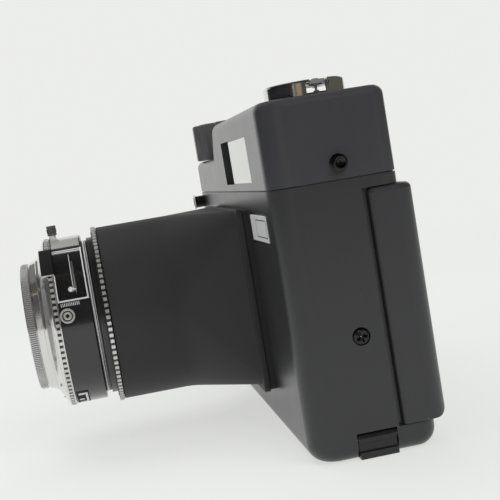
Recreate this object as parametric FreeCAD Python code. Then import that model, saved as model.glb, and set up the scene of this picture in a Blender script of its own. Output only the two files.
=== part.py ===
import FreeCAD
import Part
import math
import os

# Panoramic roll film camera: a wide cast body, a stepped top housing with a
# finder, a door round the back, and a leaf shutter lens on a flared tube.
# Millimetres. X runs along the width, -Y is where the lens points, +Z is up.
# The origin is the mouth of the tripod socket, in the middle of the base.

# Body
end_room = 22.25
body_depth = 39.8
socket_from_front = 19.15
seam_above_deck = 0.55
shoulder_rise = 13.85
step_rise = 12.7
step_top_x = -16.0
step_foot_x = -27.0
front_corner_radius = 9.0
rear_corner_radius = 6.0
foot_edge_radius = 5.8
top_edge_radius = 3.0
step_radius = 6.0
step_foot_radius = 1.2
front_wall = 2.6
end_wall = 4.5
floor_wall = 3.0
cover_wall = 2.4
seam_groove_height = 0.35
seam_groove_depth = 0.6

# Gaps between pieces
running_gap = 0.05
free_gap = 0.3
seat_gap = 0.1
root = 0.5

# The format behind the lens
gate_width = 112.0
gate_height = 56.0
film_plane_y = 14.5
gate_plate = 2.0
rail_height = 0.5
rail_width = 1.6
gate_border = 5.5
tunnel_wall = 2.0
tunnel_front_margin = 5.0
tunnel_front_height = 56.0
tunnel_front_gap = 1.2

# Chassis decks
deck_thickness = 2.5
lower_deck_top = 12.0
spool_room_below = 2.25
spool_room_above = 1.65
deck_rear_y = 15.2
deck_end_gap = 0.3

# Film spools, of the standard roll film size
spool_length = 65.5
spool_flange_radius = 12.7
spool_flange = 1.2
spool_core_radius = 5.8
spool_end_bore = 2.45
film_slot_width = 1.2
film_slot_length = 42.0
spool_from_roller = 11.75
spool_y = 0.5
pivot_shoulder_radius = 4.0
pivot_pin_length = 3.8
key_width = 1.6
key_length = 7.0
key_depth = 3.6
shaft_radius = 3.0
shaft_collar_radius = 5.0
shaft_collar = 1.2

# Film guide rollers
roller_radius = 2.4
roller_from_gate = 3.0
roller_y = 12.2
roller_stub_radius = 0.9
roller_stub = 1.6

# Back door
door_below_seam = 3.7
door_below_deck = 3.45
door_proud = 0.7
door_behind = 4.05
door_wall = 2.4
door_side_wall = 2.2
door_wrap_y = 9.9
door_groove = 1.6
door_edge_radius = 1.9
door_corner_radius = 6.5
door_foot_radius = 4.0
door_head_radius = 1.8
door_side_gap = 0.6
door_lip = 2.0
door_lip_depth = 3.0
door_lip_gap = 0.9

# Door hinge at the far end
hinge_axis_out = 1.4
hinge_axis_ahead = 1.65
knuckle_radius = 1.9
hinge_pin_radius = 1.0
hinge_leaf = 1.2
hinge_leaf_width = 7.5
hinge_knuckles = 5
hinge_end = 6.0
hinge_pin_head = 0.6
hinge_pin_head_radius = 1.5

# Door release flap at the foot of the near end
release_front_y = -4.75
release_width = 12.0
release_height = 8.0
release_thickness = 3.2
release_ridge = 1.0
release_ridge_height = 2.4
release_pin_radius = 0.8
release_pin_grip = 3.0

# Pressure plate
plate_overlap = 4.0
plate_height = 61.0
plate_thickness = 1.5
plate_corner = 2.0
plate_film_gap = 0.3
plate_travel = 1.2
plate_stud_radius = 1.5
plate_stud_x = 46.0
plate_boss_radius = 3.2
plate_boss = 2.0
plate_bore_depth = 0.8
leaf_thickness = 0.3
leaf_width = 8.0
leaf_length = 44.0
leaf_x = 26.0
seal_width = 1.6
seal_thickness = 1.35

# Fittings on the ends and the front
strap_y = 2.55
strap_above_seam = 5.2
strap_flange_radius = 2.75
strap_flange = 0.6
strap_neck_radius = 1.5
strap_neck = 1.4
strap_head_radius = 2.3
strap_head = 1.0
side_screw_y = 1.15
side_screw_z = 37.3
side_screw_radius = 2.7
side_screw_head = 1.2
side_screw_shank = 1.4
screw_slot = 0.7
screw_cross_depth = 0.55
screw_cross_reach = 0.62
side_screw_turn = 20.0
nameplate_from_flange = 4.5
nameplate_width = 31.0
nameplate_below_seam = 7.6
nameplate_height = 8.5
nameplate_thickness = 0.8
nameplate_border = 0.9
nameplate_recess = 0.6
button_from_spool = 8.75
button_below_seam = 3.85
button_radius = 2.6
button_reach = 4.7
button_travel = 1.5
button_edge = 0.5
button_collar_radius = 3.6
button_collar = 0.9
button_spring_radius = 1.9
button_spring_wall = 0.5
button_spring_pressed = 1.5
bracket_sheet = 0.7
bracket_height = 6.0

# Tripod bush, quarter inch thread at its outer radius
tripod_radius = 3.175
tripod_depth = 7.0
bush_radius = 6.5
bush_flange_radius = 9.0
bush_flange = 2.0

# Wind knob
wind_radius = 20.6
wind_height = 15.6
wind_lobes = 12
wind_flute_radius = 3.4
wind_flute_depth = 1.9
wind_cap_radius = 9.0
wind_cap = 1.2
wind_cap_slot = 9.0

# Crank knob, arm and grip
crank_radius = 12.75
crank_height = 4.6
crank_edge = 0.5
crank_slot_width = 5.9
crank_slot_offset = 2.4
crank_slot_floor = 0.5
crank_arm = 1.3
crank_arm_width = 5.0
crank_pivot_x = -8.0
crank_arm_length = 17.0
crank_arm_sink = 0.1
crank_trunnion_radius = 0.45
crank_trunnion = 1.0
crank_grip_radius = 2.1
crank_grip_length = 2.3
crank_grip_margin = 0.3
crank_rivet_radius = 0.7
crank_rivet_head_radius = 1.25
crank_rivet_head = 0.4

# Finder
window_left = 4.7
window_from_spool = 10.05
window_above_seam = 2.8
window_below_top = 8.15
window_depth = 1.4
window_glass = 1.0
tunnel_shell = 1.5
tunnel_rear_wall = 3.0
objective_y = -9.0
objective_thickness = 2.2
objective_dish = 1.1
eyepiece_radius = 8.0
eyepiece_thickness = 2.5
eyepiece_crown = 1.0
eyepiece_frame_width = 27.0
eyepiece_frame_height = 20.0
eyepiece_frame_depth = 2.6
eyepiece_corner = 3.0
eyepiece_edge = 0.8

# Lens tube, measured forward from the front face
tube_radius = 32.6
tube_reach = 51.5
tube_round_to = 25.5
tube_wall = 3.1
flange_from_gate = 9.0
flange_sink = 0.6
flange_depth = 4.2
flange_corner = 2.5
flange_foot = 2.1
flange_foot_step = 0.6
flare_lip = 2.0
flare_sink = 1.9
flare_rise = 1.0
flare_corner = 4.0
flare_wall = 2.4
flare_inner_corner = 3.0
flare_flat_angle = 4.0
flange_screw_margin = 2.3
flange_screw_z = 22.0
flange_screw_radius = 0.95
flange_screw_head_radius = 1.5
flange_screw_head = 1.0
flange_screw_cover = 0.8

# Focusing mount
focus_ring_proud = 0.5
focus_ring_width = 1.8
spigot_step = 1.4
spigot_length = 2.1
barrel_wall = 2.1
barrel_past_tube = 4.1
barrel_hold = 18.0
barrel_web = 2.2
focus_travel = 5.5

# Leaf shutter, reaches measured forward from the front face
rear_rim_depth = 1.9
shutter_ahead_of_ledge = 3.8
shutter_step = 1.6
shutter_wall = 3.5
shutter_back = 1.4
shutter_chamfer = 0.4
shutter_spigot_step = 2.0
shutter_spigot = 2.2
rear_rim_step = 2.4
rear_rim_bore = 20.0
neck_radius = 17.0
neck_wall = 1.8
neck_length = 8.0
retaining_radius = 21.0
retaining_depth = 2.4
retaining_notch = 1.5
retaining_notch_angle = 8.0
aperture_radius = 10.0
ledge_from_leaves = 0.9
ledge_depth = 1.4
blade_count = 5
blade_pitch = 0.35
blade_thickness = 0.15
blade_gap = 0.25
blade_overlap = 0.8
blade_lap_angle = 2.0
blade_past_centre = 1.0
blade_hub_radius = 2.0
blade_pin_radius = 0.8
blade_pivot_radius = 24.0
blade_lead_angle = 30.0
diaphragm_inner = 12.5
diaphragm_margin = 1.0
leaves_from_aperture = 0.7
diaphragm_leaf = 0.1
diaphragm_pitch = 0.13
diaphragm_spread = 100.0

# Rings and levers of the shutter
speed_ring_proud = 0.5
speed_ring_band = 2.5
speed_ring_depth = 5.5
speed_ring_front_radius = 25.8
speed_ring_bore = 25.2
speed_ring_step = 0.4
lever_ring_inner = 21.0
aperture_from_release = 1.6
aperture_start = 25.0
aperture_swing = 28.0
aperture_stud = 0.3
aperture_ball = 0.95
aperture_arm = 1.6
slot_width = 1.0
slot_spare_angle = 3.0
lever_spare_angle = 2.0
lever_ring_thickness = 0.6
cocking_from_front = 0.8
cocking_angle = -153.0
cocking_swing = 35.0
release_from_rear = 2.9
release_angle = 150.0
release_turn = 12.0
lever_width = 3.0
lever_tip_proud = 4.6
lever_pad = 1.6
lever_pad_depth = 4.5
lever_pad_offset = 0.5
lever_pad_share = 1.5

# Scale window on the near side of the shutter, angles up from level
scale_low_angle = 19.2
scale_high_angle = 56.6
scale_rear_border = 0.9
scale_front_border = 0.4
scale_glass = 0.35
scale_frame_width = 0.55
scale_frame_height = 0.5
scale_head_width = 1.9
guard_low_angle = 37.5
guard_high_angle = 60.5
guard_gap = 0.3
guard_thickness = 0.6
guard_ahead = 4.2

# Sockets on the shutter
sync_from_front = 2.6
sync_angle = 9.0
sync_outer_radius = 2.6
sync_ring_wall = 0.7
sync_inner_radius = 1.45
sync_hole_radius = 0.65
sync_height = 1.6
socket_depth = 3.0
cable_from_front = 1.2
cable_neck_radius = 1.3
cable_head_radius = 1.8
cable_head_proud = 1.45
cable_head_length = 3.6
cable_bore = 0.9
cable_bore_depth = 3.0

# Lens cells
front_plate_sink = 0.5
front_plate_lip = 1.0
front_cell_neck = 19.9
front_cell_groove = 1.0
cell_chamfer = 0.6
front_cell_sink = 1.0
front_cell_rear_radius = 24.9
front_cell_from_plate = 0.3
front_cell_waist_radius = 23.7
front_cell_cone = 3.5
front_ring_radius = 23.45
front_ring_gap = 0.4
front_ring_width = 3.2
filter_radius = 21.5
filter_depth = 3.0
front_glass_radius = 17.5
front_glass_seat = 3.7
front_glass_depth = 5.1
front_glass_crown = 2.2
rear_cell_radius = 15.1
rear_cell_behind = 8.5
rear_cell_entry = 3.0
rear_glass_radius = 12.6
rear_glass_seat = 1.6
rear_glass_depth = 4.9
rear_glass_crown = 1.6

# Worked out from the sizes above: heights from the film spool, widths from the
# format, then the lens from its tube
lens_height = lower_deck_top + spool_room_below + spool_length / 2
spool_bottom = lens_height - spool_length / 2
spool_top = lens_height + spool_length / 2
upper_deck_bottom = spool_top + spool_room_above
upper_deck_top = upper_deck_bottom + deck_thickness
seam_height = upper_deck_top + seam_above_deck
shoulder_height = seam_height + shoulder_rise
housing_height = shoulder_height + step_rise
door_top = seam_height - door_below_seam
door_bottom = lower_deck_top - door_below_deck
strap_z = seam_height + strap_above_seam
button_z = seam_height - button_below_seam
nameplate_top = seam_height - nameplate_below_seam
nameplate_bottom = nameplate_top - nameplate_height
bush_height = lower_deck_top - deck_thickness - free_gap
window_bottom = seam_height + window_above_seam
window_top = housing_height - window_below_top
flange_width = gate_width - 2 * flange_from_gate
flare_width = flange_width - 2 * flare_lip
flange_screw_x = flange_width / 2 - flange_screw_margin
tunnel_front_width = flare_width - 2 * tunnel_front_margin
roller_x = gate_width / 2 + gate_border + roller_from_gate
spool_x = roller_x + spool_from_roller
half_width = spool_x + end_room
wind_top = shoulder_height + free_gap + wind_height
plate_width = gate_width + 2 * plate_overlap
nameplate_left = flange_width / 2 + nameplate_from_flange
nameplate_right = nameplate_left + nameplate_width
button_x = -(spool_x + button_from_spool)
window_right = spool_x - window_from_spool
tube_bore = tube_radius - tube_wall
flare_height = 2 * (tube_radius - flare_sink)
flange_height = 2 * (tube_radius - flange_sink)
flare_middle = lens_height + flare_rise
focus_ring_radius = tube_radius + focus_ring_proud
spigot_radius = tube_radius - spigot_step
shutter_radius = tube_radius - shutter_step
shutter_cavity_radius = shutter_radius - shutter_wall
shutter_spigot_radius = shutter_radius - shutter_spigot_step
rear_rim_radius = shutter_radius - rear_rim_step
speed_ring_radius = shutter_radius + speed_ring_proud
lever_tip_radius = shutter_radius + lever_tip_proud
diaphragm_outer = shutter_cavity_radius - diaphragm_margin
cable_head_bottom = shutter_radius + cable_head_proud
cable_head_top = cable_head_bottom + cable_head_length
barrel_front = tube_reach + barrel_past_tube
shutter_rear = barrel_front + rear_rim_depth
release_reach = shutter_rear + release_from_rear
aperture_slot = release_reach + aperture_from_release
diaphragm_rear = aperture_slot + leaves_from_aperture
ledge_rear = diaphragm_rear + ledge_from_leaves
ledge_front = ledge_rear + ledge_depth
shutter_front = ledge_front + shutter_ahead_of_ledge
shutter_spigot_front = shutter_front + shutter_spigot
speed_ring_front = shutter_front + speed_ring_depth
cocking_reach = shutter_front - cocking_from_front
sync_reach = shutter_front - sync_from_front
cable_reach = shutter_front - cable_from_front
scale_rear = shutter_rear + scale_rear_border
scale_front = shutter_front - scale_front_border
front_plate_front = speed_ring_front - front_plate_sink
front_cell_rear = shutter_front - front_cell_sink
front_cell_back = front_plate_front + front_cell_from_plate
front_cell_waist = front_cell_back + front_cell_cone
front_ring_rear = front_cell_waist + front_ring_gap
front_ring_front = front_ring_rear + front_ring_width
front_glass_rear = front_cell_rear + front_glass_seat
front_glass_front = front_glass_rear + front_glass_depth
neck_rear = shutter_rear - neck_length
rear_cell_rear = neck_rear - rear_cell_behind
rear_cell_front = shutter_rear + rear_cell_entry
rear_glass_rear = rear_cell_rear + rear_glass_seat
rear_glass_front = rear_glass_rear + rear_glass_depth
front_y = -socket_from_front
rear_y = front_y + body_depth
door_rear_y = rear_y + door_behind
cavity_half = half_width - end_wall
hinge_x = -(half_width + door_proud + hinge_axis_out)
hinge_y = door_wrap_y - hinge_axis_ahead
finder_x = (window_left + window_right) / 2
finder_z = (window_bottom + window_top) / 2
barrel_radius = tube_bore - running_gap
barrel_rear = tube_reach - focus_travel - barrel_hold
crank_y = spool_y + crank_slot_offset
crank_base = housing_height + free_gap
crank_top = crank_base + crank_height
lever_ring_radius = shutter_cavity_radius - free_gap
button_spring_length = button_spring_pressed + button_travel
bracket_reach = button_collar_radius + free_gap + bracket_sheet
bracket_back = front_y + front_wall + button_collar + button_spring_length
socket_foot = shutter_radius - socket_depth

X_AXIS = FreeCAD.Vector(1, 0, 0)
Y_AXIS = FreeCAD.Vector(0, 1, 0)
Z_AXIS = FreeCAD.Vector(0, 0, 1)
FORWARD = FreeCAD.Vector(0, -1, 0)

pieces = {}


def point(x, y, z):
    return FreeCAD.Vector(x, y, z)


def block(x0, x1, y0, y1, z0, z1):
    return Part.makeBox(x1 - x0, y1 - y0, z1 - z0, point(x0, y0, z0))


def rod(radius, base, axis, length):
    return Part.makeCylinder(radius, length, base, axis)


def upright(radius, x, y, z0, z1):
    return rod(radius, point(x, y, z0), Z_AXIS, z1 - z0)


def face_of(points):
    return Part.Face(Part.makePolygon(points + points[:1]))


def ahead(reach):
    """The Y place that lies reach in front of the body's front face."""
    return front_y - reach


def turned(outline):
    """Turns an outline of (radius, reach) points about the lens axis."""
    corners = [point(radius, ahead(reach), lens_height) for radius, reach in outline]
    return face_of(corners).revolve(point(0, 0, lens_height), Y_AXIS, 360)


def ring(inner, outer, rear, front):
    return turned([(inner, rear), (outer, rear), (outer, front), (inner, front)])


def disc(radius, rear, front):
    return rod(radius, point(0, ahead(rear), lens_height), FORWARD, front - rear)


def sector(inner, outer, rear, front, low, high):
    """Part of a ring about the lens axis, from angle low to high above level."""
    corners = [(inner, rear), (outer, rear), (outer, front), (inner, front)]
    flat = face_of([point(radius, ahead(reach), lens_height) for radius, reach in corners])
    swept = flat.revolve(point(0, 0, lens_height), Y_AXIS, -(high - low))
    swept.rotate(point(0, 0, lens_height), Y_AXIS, -low)
    return swept


def around(angle, radius, reach):
    """A point about the lens axis, angle degrees above level on the near side."""
    turn = math.radians(angle)
    return point(radius * math.cos(turn), ahead(reach), lens_height + radius * math.sin(turn))


def outward(angle):
    turn = math.radians(angle)
    return point(math.cos(turn), 0, math.sin(turn))


def round_edges(shape, radius, wanted):
    """Fillets the straight or curved edges whose middle passes the test."""
    chosen = [edge for edge in shape.Edges if wanted(edge)]
    return shape.makeFillet(radius, chosen)


def near(value, target):
    return abs(value - target) < 0.01


def runs_along(edge, axis):
    if not isinstance(edge.Curve, Part.Line):
        return False
    return abs(edge.Curve.Direction.dot(axis)) > 0.999


def middle(edge):
    return edge.BoundBox.Center


def is_upright_at(edge, y):
    return runs_along(edge, Z_AXIS) and near(middle(edge).y, y)


def rounded_block(x0, x1, y0, y1, z0, z1, front_radius, rear_radius):
    """A block whose upright edges are rounded at the front and at the rear."""
    shape = block(x0, x1, y0, y1, z0, z1)
    shape = round_edges(shape, front_radius, lambda edge: is_upright_at(edge, y0))
    return round_edges(shape, rear_radius, lambda edge: is_upright_at(edge, y1))


def crossed_head(base, axis, across, radius, thickness):
    """A round screw head with a cross recess in its outer face."""
    head = rod(radius, base, axis, thickness)
    depth = thickness * screw_cross_depth
    reach = radius * screw_cross_reach
    along = axis.cross(across)
    for direction in (across, along):
        side = axis.cross(direction)
        start = base + axis * (thickness - depth) - direction * reach - side * (screw_slot / 2)
        corners = [start, start + direction * (2 * reach)]
        corners += [corners[1] + side * screw_slot, start + side * screw_slot]
        head = head.cut(face_of(corners).extrude(axis * (depth + 1)))
    return head


def keep(name, shape):
    pieces[name] = shape.removeSplitter()


# Body and covers

def main_case():
    shape = rounded_block(-half_width, half_width, front_y, rear_y, 0, seam_height,
                          front_corner_radius, rear_corner_radius)
    shape = round_edges(shape, foot_edge_radius, lambda edge: near(edge.BoundBox.ZMax, 0))
    shape = shape.cut(block(-cavity_half, cavity_half, front_y + front_wall,
                            rear_y - front_wall, floor_wall, seam_height + 1))
    low = door_bottom - free_gap
    high = door_top + free_gap
    shape = shape.cut(block(-cavity_half, cavity_half, rear_y - 2 * front_wall, rear_y + 1, low, high))
    recess = half_width + door_proud - door_side_wall - door_side_gap
    for side in (-1, 1):
        x0, x1 = sorted((side * recess, side * (half_width + 1)))
        shape = shape.cut(block(x0, x1, door_wrap_y - door_groove, rear_y + 1, low, high))
    shape = shape.cut(lens_opening(front_y - 1, front_y + front_wall + 1))
    shape = shape.cut(upright(bush_radius + seat_gap, 0, 0, -1, floor_wall + 1))
    for sign in (-1, 1):
        seat = point(sign * (half_width - side_screw_head), side_screw_y, side_screw_z)
        shape = shape.cut(rod(side_screw_radius + seat_gap, seat, X_AXIS * sign, end_wall))
        inner = point(sign * (cavity_half - 1), side_screw_y, side_screw_z)
        shape = shape.cut(rod(side_screw_shank + seat_gap, inner, X_AXIS * sign, end_wall + 2))
    shape = shape.cut(block(nameplate_left - nameplate_border, nameplate_right + nameplate_border,
                            front_y - 1, front_y + nameplate_recess,
                            nameplate_bottom - nameplate_border, nameplate_top + nameplate_border))
    hole = point(button_x, front_y - 1, button_z)
    shape = shape.cut(rod(button_radius + running_gap, hole, Y_AXIS, front_wall + 2))
    shape = shape.cut(release_pocket())
    for place in flange_screw_places():
        shape = shape.cut(rod(flange_screw_radius + seat_gap, place, FORWARD, front_wall))
    keep("main_case", shape)


def lens_opening(y0, y1):
    half = flare_width / 2 - flare_wall
    tall = flare_height / 2 - flare_wall
    return block(-half, half, y0, y1, flare_middle - tall, flare_middle + tall)


def flange_screw_places():
    places = []
    for side in (-1, 1):
        for level in (-1, 1):
            places.append(point(side * flange_screw_x, front_y + front_wall,
                                lens_height + level * flange_screw_z))
    return places


def cover_outline(inset, base):
    """The stepped front outline of the top housing, drawn in by inset."""
    left = -half_width + inset
    right = half_width - inset
    high = housing_height - inset
    low = shoulder_height - inset
    return [point(left, 0, base), point(right, 0, base), point(right, 0, high),
            point(step_top_x + inset, 0, high), point(step_foot_x + inset, 0, low),
            point(left, 0, low)]


def cover_block(inset, base):
    y0 = front_y + inset
    y1 = rear_y - inset
    shape = face_of(cover_outline(inset, base)).extrude(Y_AXIS * (y1 - y0))
    shape.translate(Y_AXIS * y0)
    front_radius = front_corner_radius - inset
    rear_radius = rear_corner_radius - inset
    shape = round_edges(shape, front_radius, lambda edge: is_upright_at(edge, y0))
    return round_edges(shape, rear_radius, lambda edge: is_upright_at(edge, y1))


def top_cover():
    shape = cover_block(0, seam_height)
    shape = round_edges(shape, step_radius, lambda edge: runs_along(edge, Y_AXIS)
                        and near(middle(edge).x, step_top_x))
    shape = round_edges(shape, step_foot_radius, lambda edge: runs_along(edge, Y_AXIS)
                        and near(middle(edge).x, step_foot_x))
    shape = round_edges(shape, top_edge_radius, is_cover_rim)
    shape = shape.cut(seam_groove())
    shape = shape.cut(cover_block(cover_wall, seam_height - 1))
    shape = shape.cut(block(window_left, window_right, front_y - 1, front_y + cover_wall + 1,
                            window_bottom, window_top))
    hole = point(finder_x, rear_y - cover_wall - 1, finder_z)
    shape = shape.cut(rod(eyepiece_radius, hole, Y_AXIS, cover_wall + 2))
    shape = shape.cut(upright(shaft_radius + free_gap, -spool_x, spool_y,
                              seam_height, shoulder_height + 1))
    shape = shape.cut(upright(shaft_radius + free_gap, spool_x, spool_y,
                              seam_height, housing_height + 1))
    for sign in (-1, 1):
        hole = point(sign * (half_width - cover_wall - 1), strap_y, strap_z)
        shape = shape.cut(rod(strap_neck_radius + seat_gap, hole, X_AXIS * sign, cover_wall + 2))
    keep("top_cover", shape)


def seam_groove():
    """The shadow line round the housing, just above its seat on the case."""
    slab = block(-half_width - 1, half_width + 1, front_y - 1, rear_y + 1,
                 seam_height, seam_height + seam_groove_height)
    return slab.cut(cover_block(seam_groove_depth, seam_height - 1))


def is_cover_rim(edge):
    """The upper rim: every edge above the seam that isn't across the depth or upright."""
    box = edge.BoundBox
    if box.ZMax < shoulder_height - 1:
        return False
    on_front = near(box.YMin, front_y) and near(box.YMax, front_y)
    on_rear = near(box.YMin, rear_y) and near(box.YMax, rear_y)
    if on_front or on_rear:
        return True
    on_end = near(abs(middle(edge).x), half_width)
    level = near(box.ZMax - box.ZMin, 0)
    corner = level and abs(middle(edge).x) > half_width - front_corner_radius
    return (on_end and level) or corner


def film_gate():
    end = cavity_half - deck_end_gap
    y0 = front_y + front_wall + deck_end_gap
    shape = block(-end, end, y0, deck_rear_y, lower_deck_top - deck_thickness, lower_deck_top)
    upper = block(-end, end, y0, deck_rear_y, upper_deck_bottom, upper_deck_top)
    reach = bracket_reach + free_gap
    pocket = block(button_x - reach, button_x + reach, y0 - 1, bracket_back + bracket_sheet + free_gap,
                   upper_deck_bottom - 1, upper_deck_top + 1)
    shape = shape.fuse(upper.cut(pocket))
    plate_half = gate_width / 2 + gate_border
    shape = shape.fuse(block(-plate_half, plate_half, film_plane_y - gate_plate, film_plane_y,
                             lower_deck_top, upper_deck_bottom))
    shape = shape.fuse(gate_tunnel(tunnel_wall))
    for level in (-1, 1):
        rail = lens_height + level * (gate_height / 2 + rail_width)
        shape = shape.fuse(block(-plate_half, plate_half, film_plane_y, film_plane_y + rail_height,
                                 rail - rail_width / 2, rail + rail_width / 2))
    shape = shape.cut(gate_tunnel(0))
    for x in (-spool_x, spool_x):
        shape = shape.cut(upright(shaft_radius + running_gap, x, spool_y,
                                  upper_deck_bottom - 1, upper_deck_top + 1))
    for x in (-roller_x, roller_x):
        for z in (lower_deck_top, upper_deck_bottom):
            shape = shape.cut(upright(roller_stub_radius + running_gap, x, roller_y,
                                      z - roller_stub, z + roller_stub))
    keep("film_gate", shape)


def gate_tunnel(wall):
    """The tapered dark chamber: its inner space, grown outwards by wall."""
    extra = 1 if wall == 0 else 0
    y0 = front_y + front_wall + tunnel_front_gap - extra
    y1 = film_plane_y + extra
    front = tunnel_loop(tunnel_front_width / 2 + wall, tunnel_front_height / 2 + wall, y0)
    rear = tunnel_loop(gate_width / 2 + wall, gate_height / 2 + wall, y1)
    return Part.makeLoft([front, rear], True, True)


def tunnel_loop(half, tall, y):
    corners = [point(-half, y, lens_height - tall), point(half, y, lens_height - tall),
               point(half, y, lens_height + tall), point(-half, y, lens_height + tall)]
    return Part.makePolygon(corners + corners[:1])


# Back door and its hinge

def door_shell(inset):
    side = half_width + door_proud - inset * door_side_wall
    rear = door_rear_y - inset * door_wall
    corner = door_corner_radius - inset * door_wall
    shape = block(-side, side, door_wrap_y - inset, rear, door_bottom - inset, door_top + inset)
    return round_edges(shape, corner, lambda edge: is_upright_at(edge, rear))


def back_door():
    shape = door_envelope().cut(door_shell(1))
    inner = door_rear_y - door_wall
    reach = door_lip_start()
    for z in (door_bottom, door_top - door_lip):
        foot = 0 if z > lens_height else door_foot_radius - door_wall
        lip = block(reach, cavity_half - door_lip_gap, inner - door_lip_depth, inner + root,
                    z, z + door_lip + foot)
        shape = shape.fuse(lip)
    shape = shape.common(door_envelope())
    for x in (-plate_stud_x, plate_stud_x):
        boss = rod(plate_boss_radius, point(x, inner - plate_boss, lens_height), Y_AXIS,
                   plate_boss + root)
        shape = shape.fuse(boss)
        bore = rod(plate_stud_radius + running_gap, point(x, inner - plate_boss - 1, lens_height),
                   Y_AXIS, plate_boss + 1 + plate_bore_depth)
        shape = shape.cut(bore)
    for z0, z1 in knuckle_spans(1):
        shape = shape.fuse(hinge_knuckle(z0, z1, 1))
    keep("back_door", shape.cut(hinge_bore()))


def door_envelope():
    shape = door_shell(0)
    shape = round_edges(shape, door_edge_radius, lambda edge: is_upright_at(edge, door_wrap_y))
    side = half_width + door_proud + 1
    profile = block(-side, side, 0, door_rear_y, door_bottom, door_top + 1)
    profile = round_edges(profile, door_foot_radius, lambda edge: runs_along(edge, X_AXIS)
                          and near(edge.BoundBox.ZMax, door_bottom) and edge.BoundBox.YMax > rear_y)
    shape = shape.common(profile)
    return round_edges(shape, door_head_radius, lambda edge: near(edge.BoundBox.ZMin, door_top)
                       and not near(edge.BoundBox.YMax, door_wrap_y))


def door_lip_start():
    """Where the lips may begin so that they swing clear of the far end wall."""
    corner_x = -cavity_half - hinge_x
    corner_y = rear_y - hinge_y
    reach = math.hypot(corner_x, corner_y) + 2 * free_gap
    lip_y = door_rear_y - door_wall - door_lip_depth - hinge_y
    return hinge_x + math.sqrt(reach ** 2 - lip_y ** 2)


def knuckle_spans(which):
    """The heights of the case's knuckles (0) or of the door's (1)."""
    length = (door_top - door_bottom - 2 * hinge_end) / hinge_knuckles
    spans = []
    for index in range(hinge_knuckles):
        if index % 2 == which:
            low = door_bottom + hinge_end + index * length
            spans.append((low + free_gap / 2, low + length - free_gap / 2))
    return spans


def hinge_knuckle(z0, z1, side):
    """A knuckle and its tab: side 0 lies on the case, side 1 on the door."""
    barrel = upright(knuckle_radius, hinge_x, hinge_y, z0, z1)
    wall_x = -half_width - side * door_proud
    y0 = hinge_y if side else hinge_y - hinge_leaf_width
    tab = block(wall_x - hinge_leaf, wall_x, y0, y0 + hinge_leaf_width, z0, z1)
    reach = 2 * knuckle_radius
    wall = block(wall_x, wall_x + reach, hinge_y - reach, hinge_y + reach, z0 - 1, z1 + 1)
    return barrel.fuse(tab).cut(wall)


def hinge_bore():
    return upright(hinge_pin_radius + running_gap, hinge_x, hinge_y, 0, seam_height)


def hinge_leaf_case():
    low = knuckle_spans(0)[0][0]
    high = knuckle_spans(0)[-1][1]
    wall_x = -half_width
    shape = block(wall_x - hinge_leaf, wall_x, hinge_y - hinge_leaf_width,
                  hinge_y - knuckle_radius - free_gap, low, high)
    for z0, z1 in knuckle_spans(0):
        shape = shape.fuse(hinge_knuckle(z0, z1, 0))
    keep("hinge_leaf", shape.cut(hinge_bore()))


def hinge_pin():
    low = knuckle_spans(0)[0][0]
    high = knuckle_spans(0)[-1][1]
    shape = upright(hinge_pin_radius, hinge_x, hinge_y, low, high)
    for z in (low - hinge_pin_head, high):
        shape = shape.fuse(upright(hinge_pin_head_radius, hinge_x, hinge_y, z, z + hinge_pin_head))
    keep("hinge_pin", shape)


def door_seal():
    """Foam strips inside the door that close on the rims of the film opening."""
    y1 = door_rear_y - door_wall
    y0 = y1 - seal_thickness
    end = cavity_half + seal_width / 2
    strips = []
    for side in (-1, 1):
        x0, x1 = sorted((side * (end - seal_width / 2), side * (end + seal_width / 2)))
        strip = block(x0, x1, y0, y1, door_bottom + door_foot_radius, door_top - door_head_radius)
        strips.append(strip.common(door_shell(1)))
    keep("door_seal", Part.makeCompound(strips))


def pressure_plate():
    y0 = film_plane_y + rail_height + plate_film_gap
    y1 = y0 + plate_thickness
    shape = block(-plate_width / 2, plate_width / 2, y0, y1,
                  lens_height - plate_height / 2, lens_height + plate_height / 2)
    shape = round_edges(shape, plate_corner, lambda edge: runs_along(edge, Y_AXIS))
    tip = door_rear_y - door_wall + plate_bore_depth - plate_travel - free_gap
    for x in (-plate_stud_x, plate_stud_x):
        shape = shape.fuse(rod(plate_stud_radius, point(x, y1, lens_height), Y_AXIS, tip - y1))
    keep("pressure_plate", shape)


def pressure_springs():
    """Two bowed leaves between the plate's ends and the door's middle."""
    near_y = film_plane_y + rail_height + plate_film_gap + plate_thickness
    far_y = door_rear_y - door_wall - leaf_thickness
    rise = far_y - near_y
    leaves = []
    for x in (-leaf_x, leaf_x):
        low = point(x - leaf_width / 2, near_y, lens_height - leaf_length / 2)
        top = point(x - leaf_width / 2, near_y, lens_height + leaf_length / 2)
        crown = point(x - leaf_width / 2, near_y + rise, lens_height)
        inner = Part.Arc(low, crown, top).toShape()
        back = Y_AXIS * leaf_thickness
        outer = Part.Arc(low + back, crown + back, top + back).toShape()
        ends = [Part.makeLine(low, low + back), Part.makeLine(top, top + back)]
        wire = Part.Wire(Part.__sortEdges__([inner, outer] + ends))
        leaves.append(Part.Face(wire).extrude(X_AXIS * leaf_width))
    keep("pressure_springs", Part.makeCompound(leaves))


# Door release flap

def release_span():
    return release_front_y, release_front_y + release_width


def release_axis():
    """Where the flap's pivot lies, in X and Z, inside the end wall."""
    return half_width - release_thickness / 2, release_height - release_thickness / 2


def release_pocket():
    y0, y1 = release_span()
    gap = free_gap
    pocket = block(half_width - release_thickness - gap, half_width + 1, y0 - gap, y1 + gap,
                   -1, release_height + gap)
    x, z = release_axis()
    return pocket.fuse(release_rod(x, y0, z))


def release_rod(x, y0, z):
    return rod(release_pin_radius, point(x, y0 - release_pin_grip, z), Y_AXIS,
               release_width + 2 * release_pin_grip)


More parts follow.
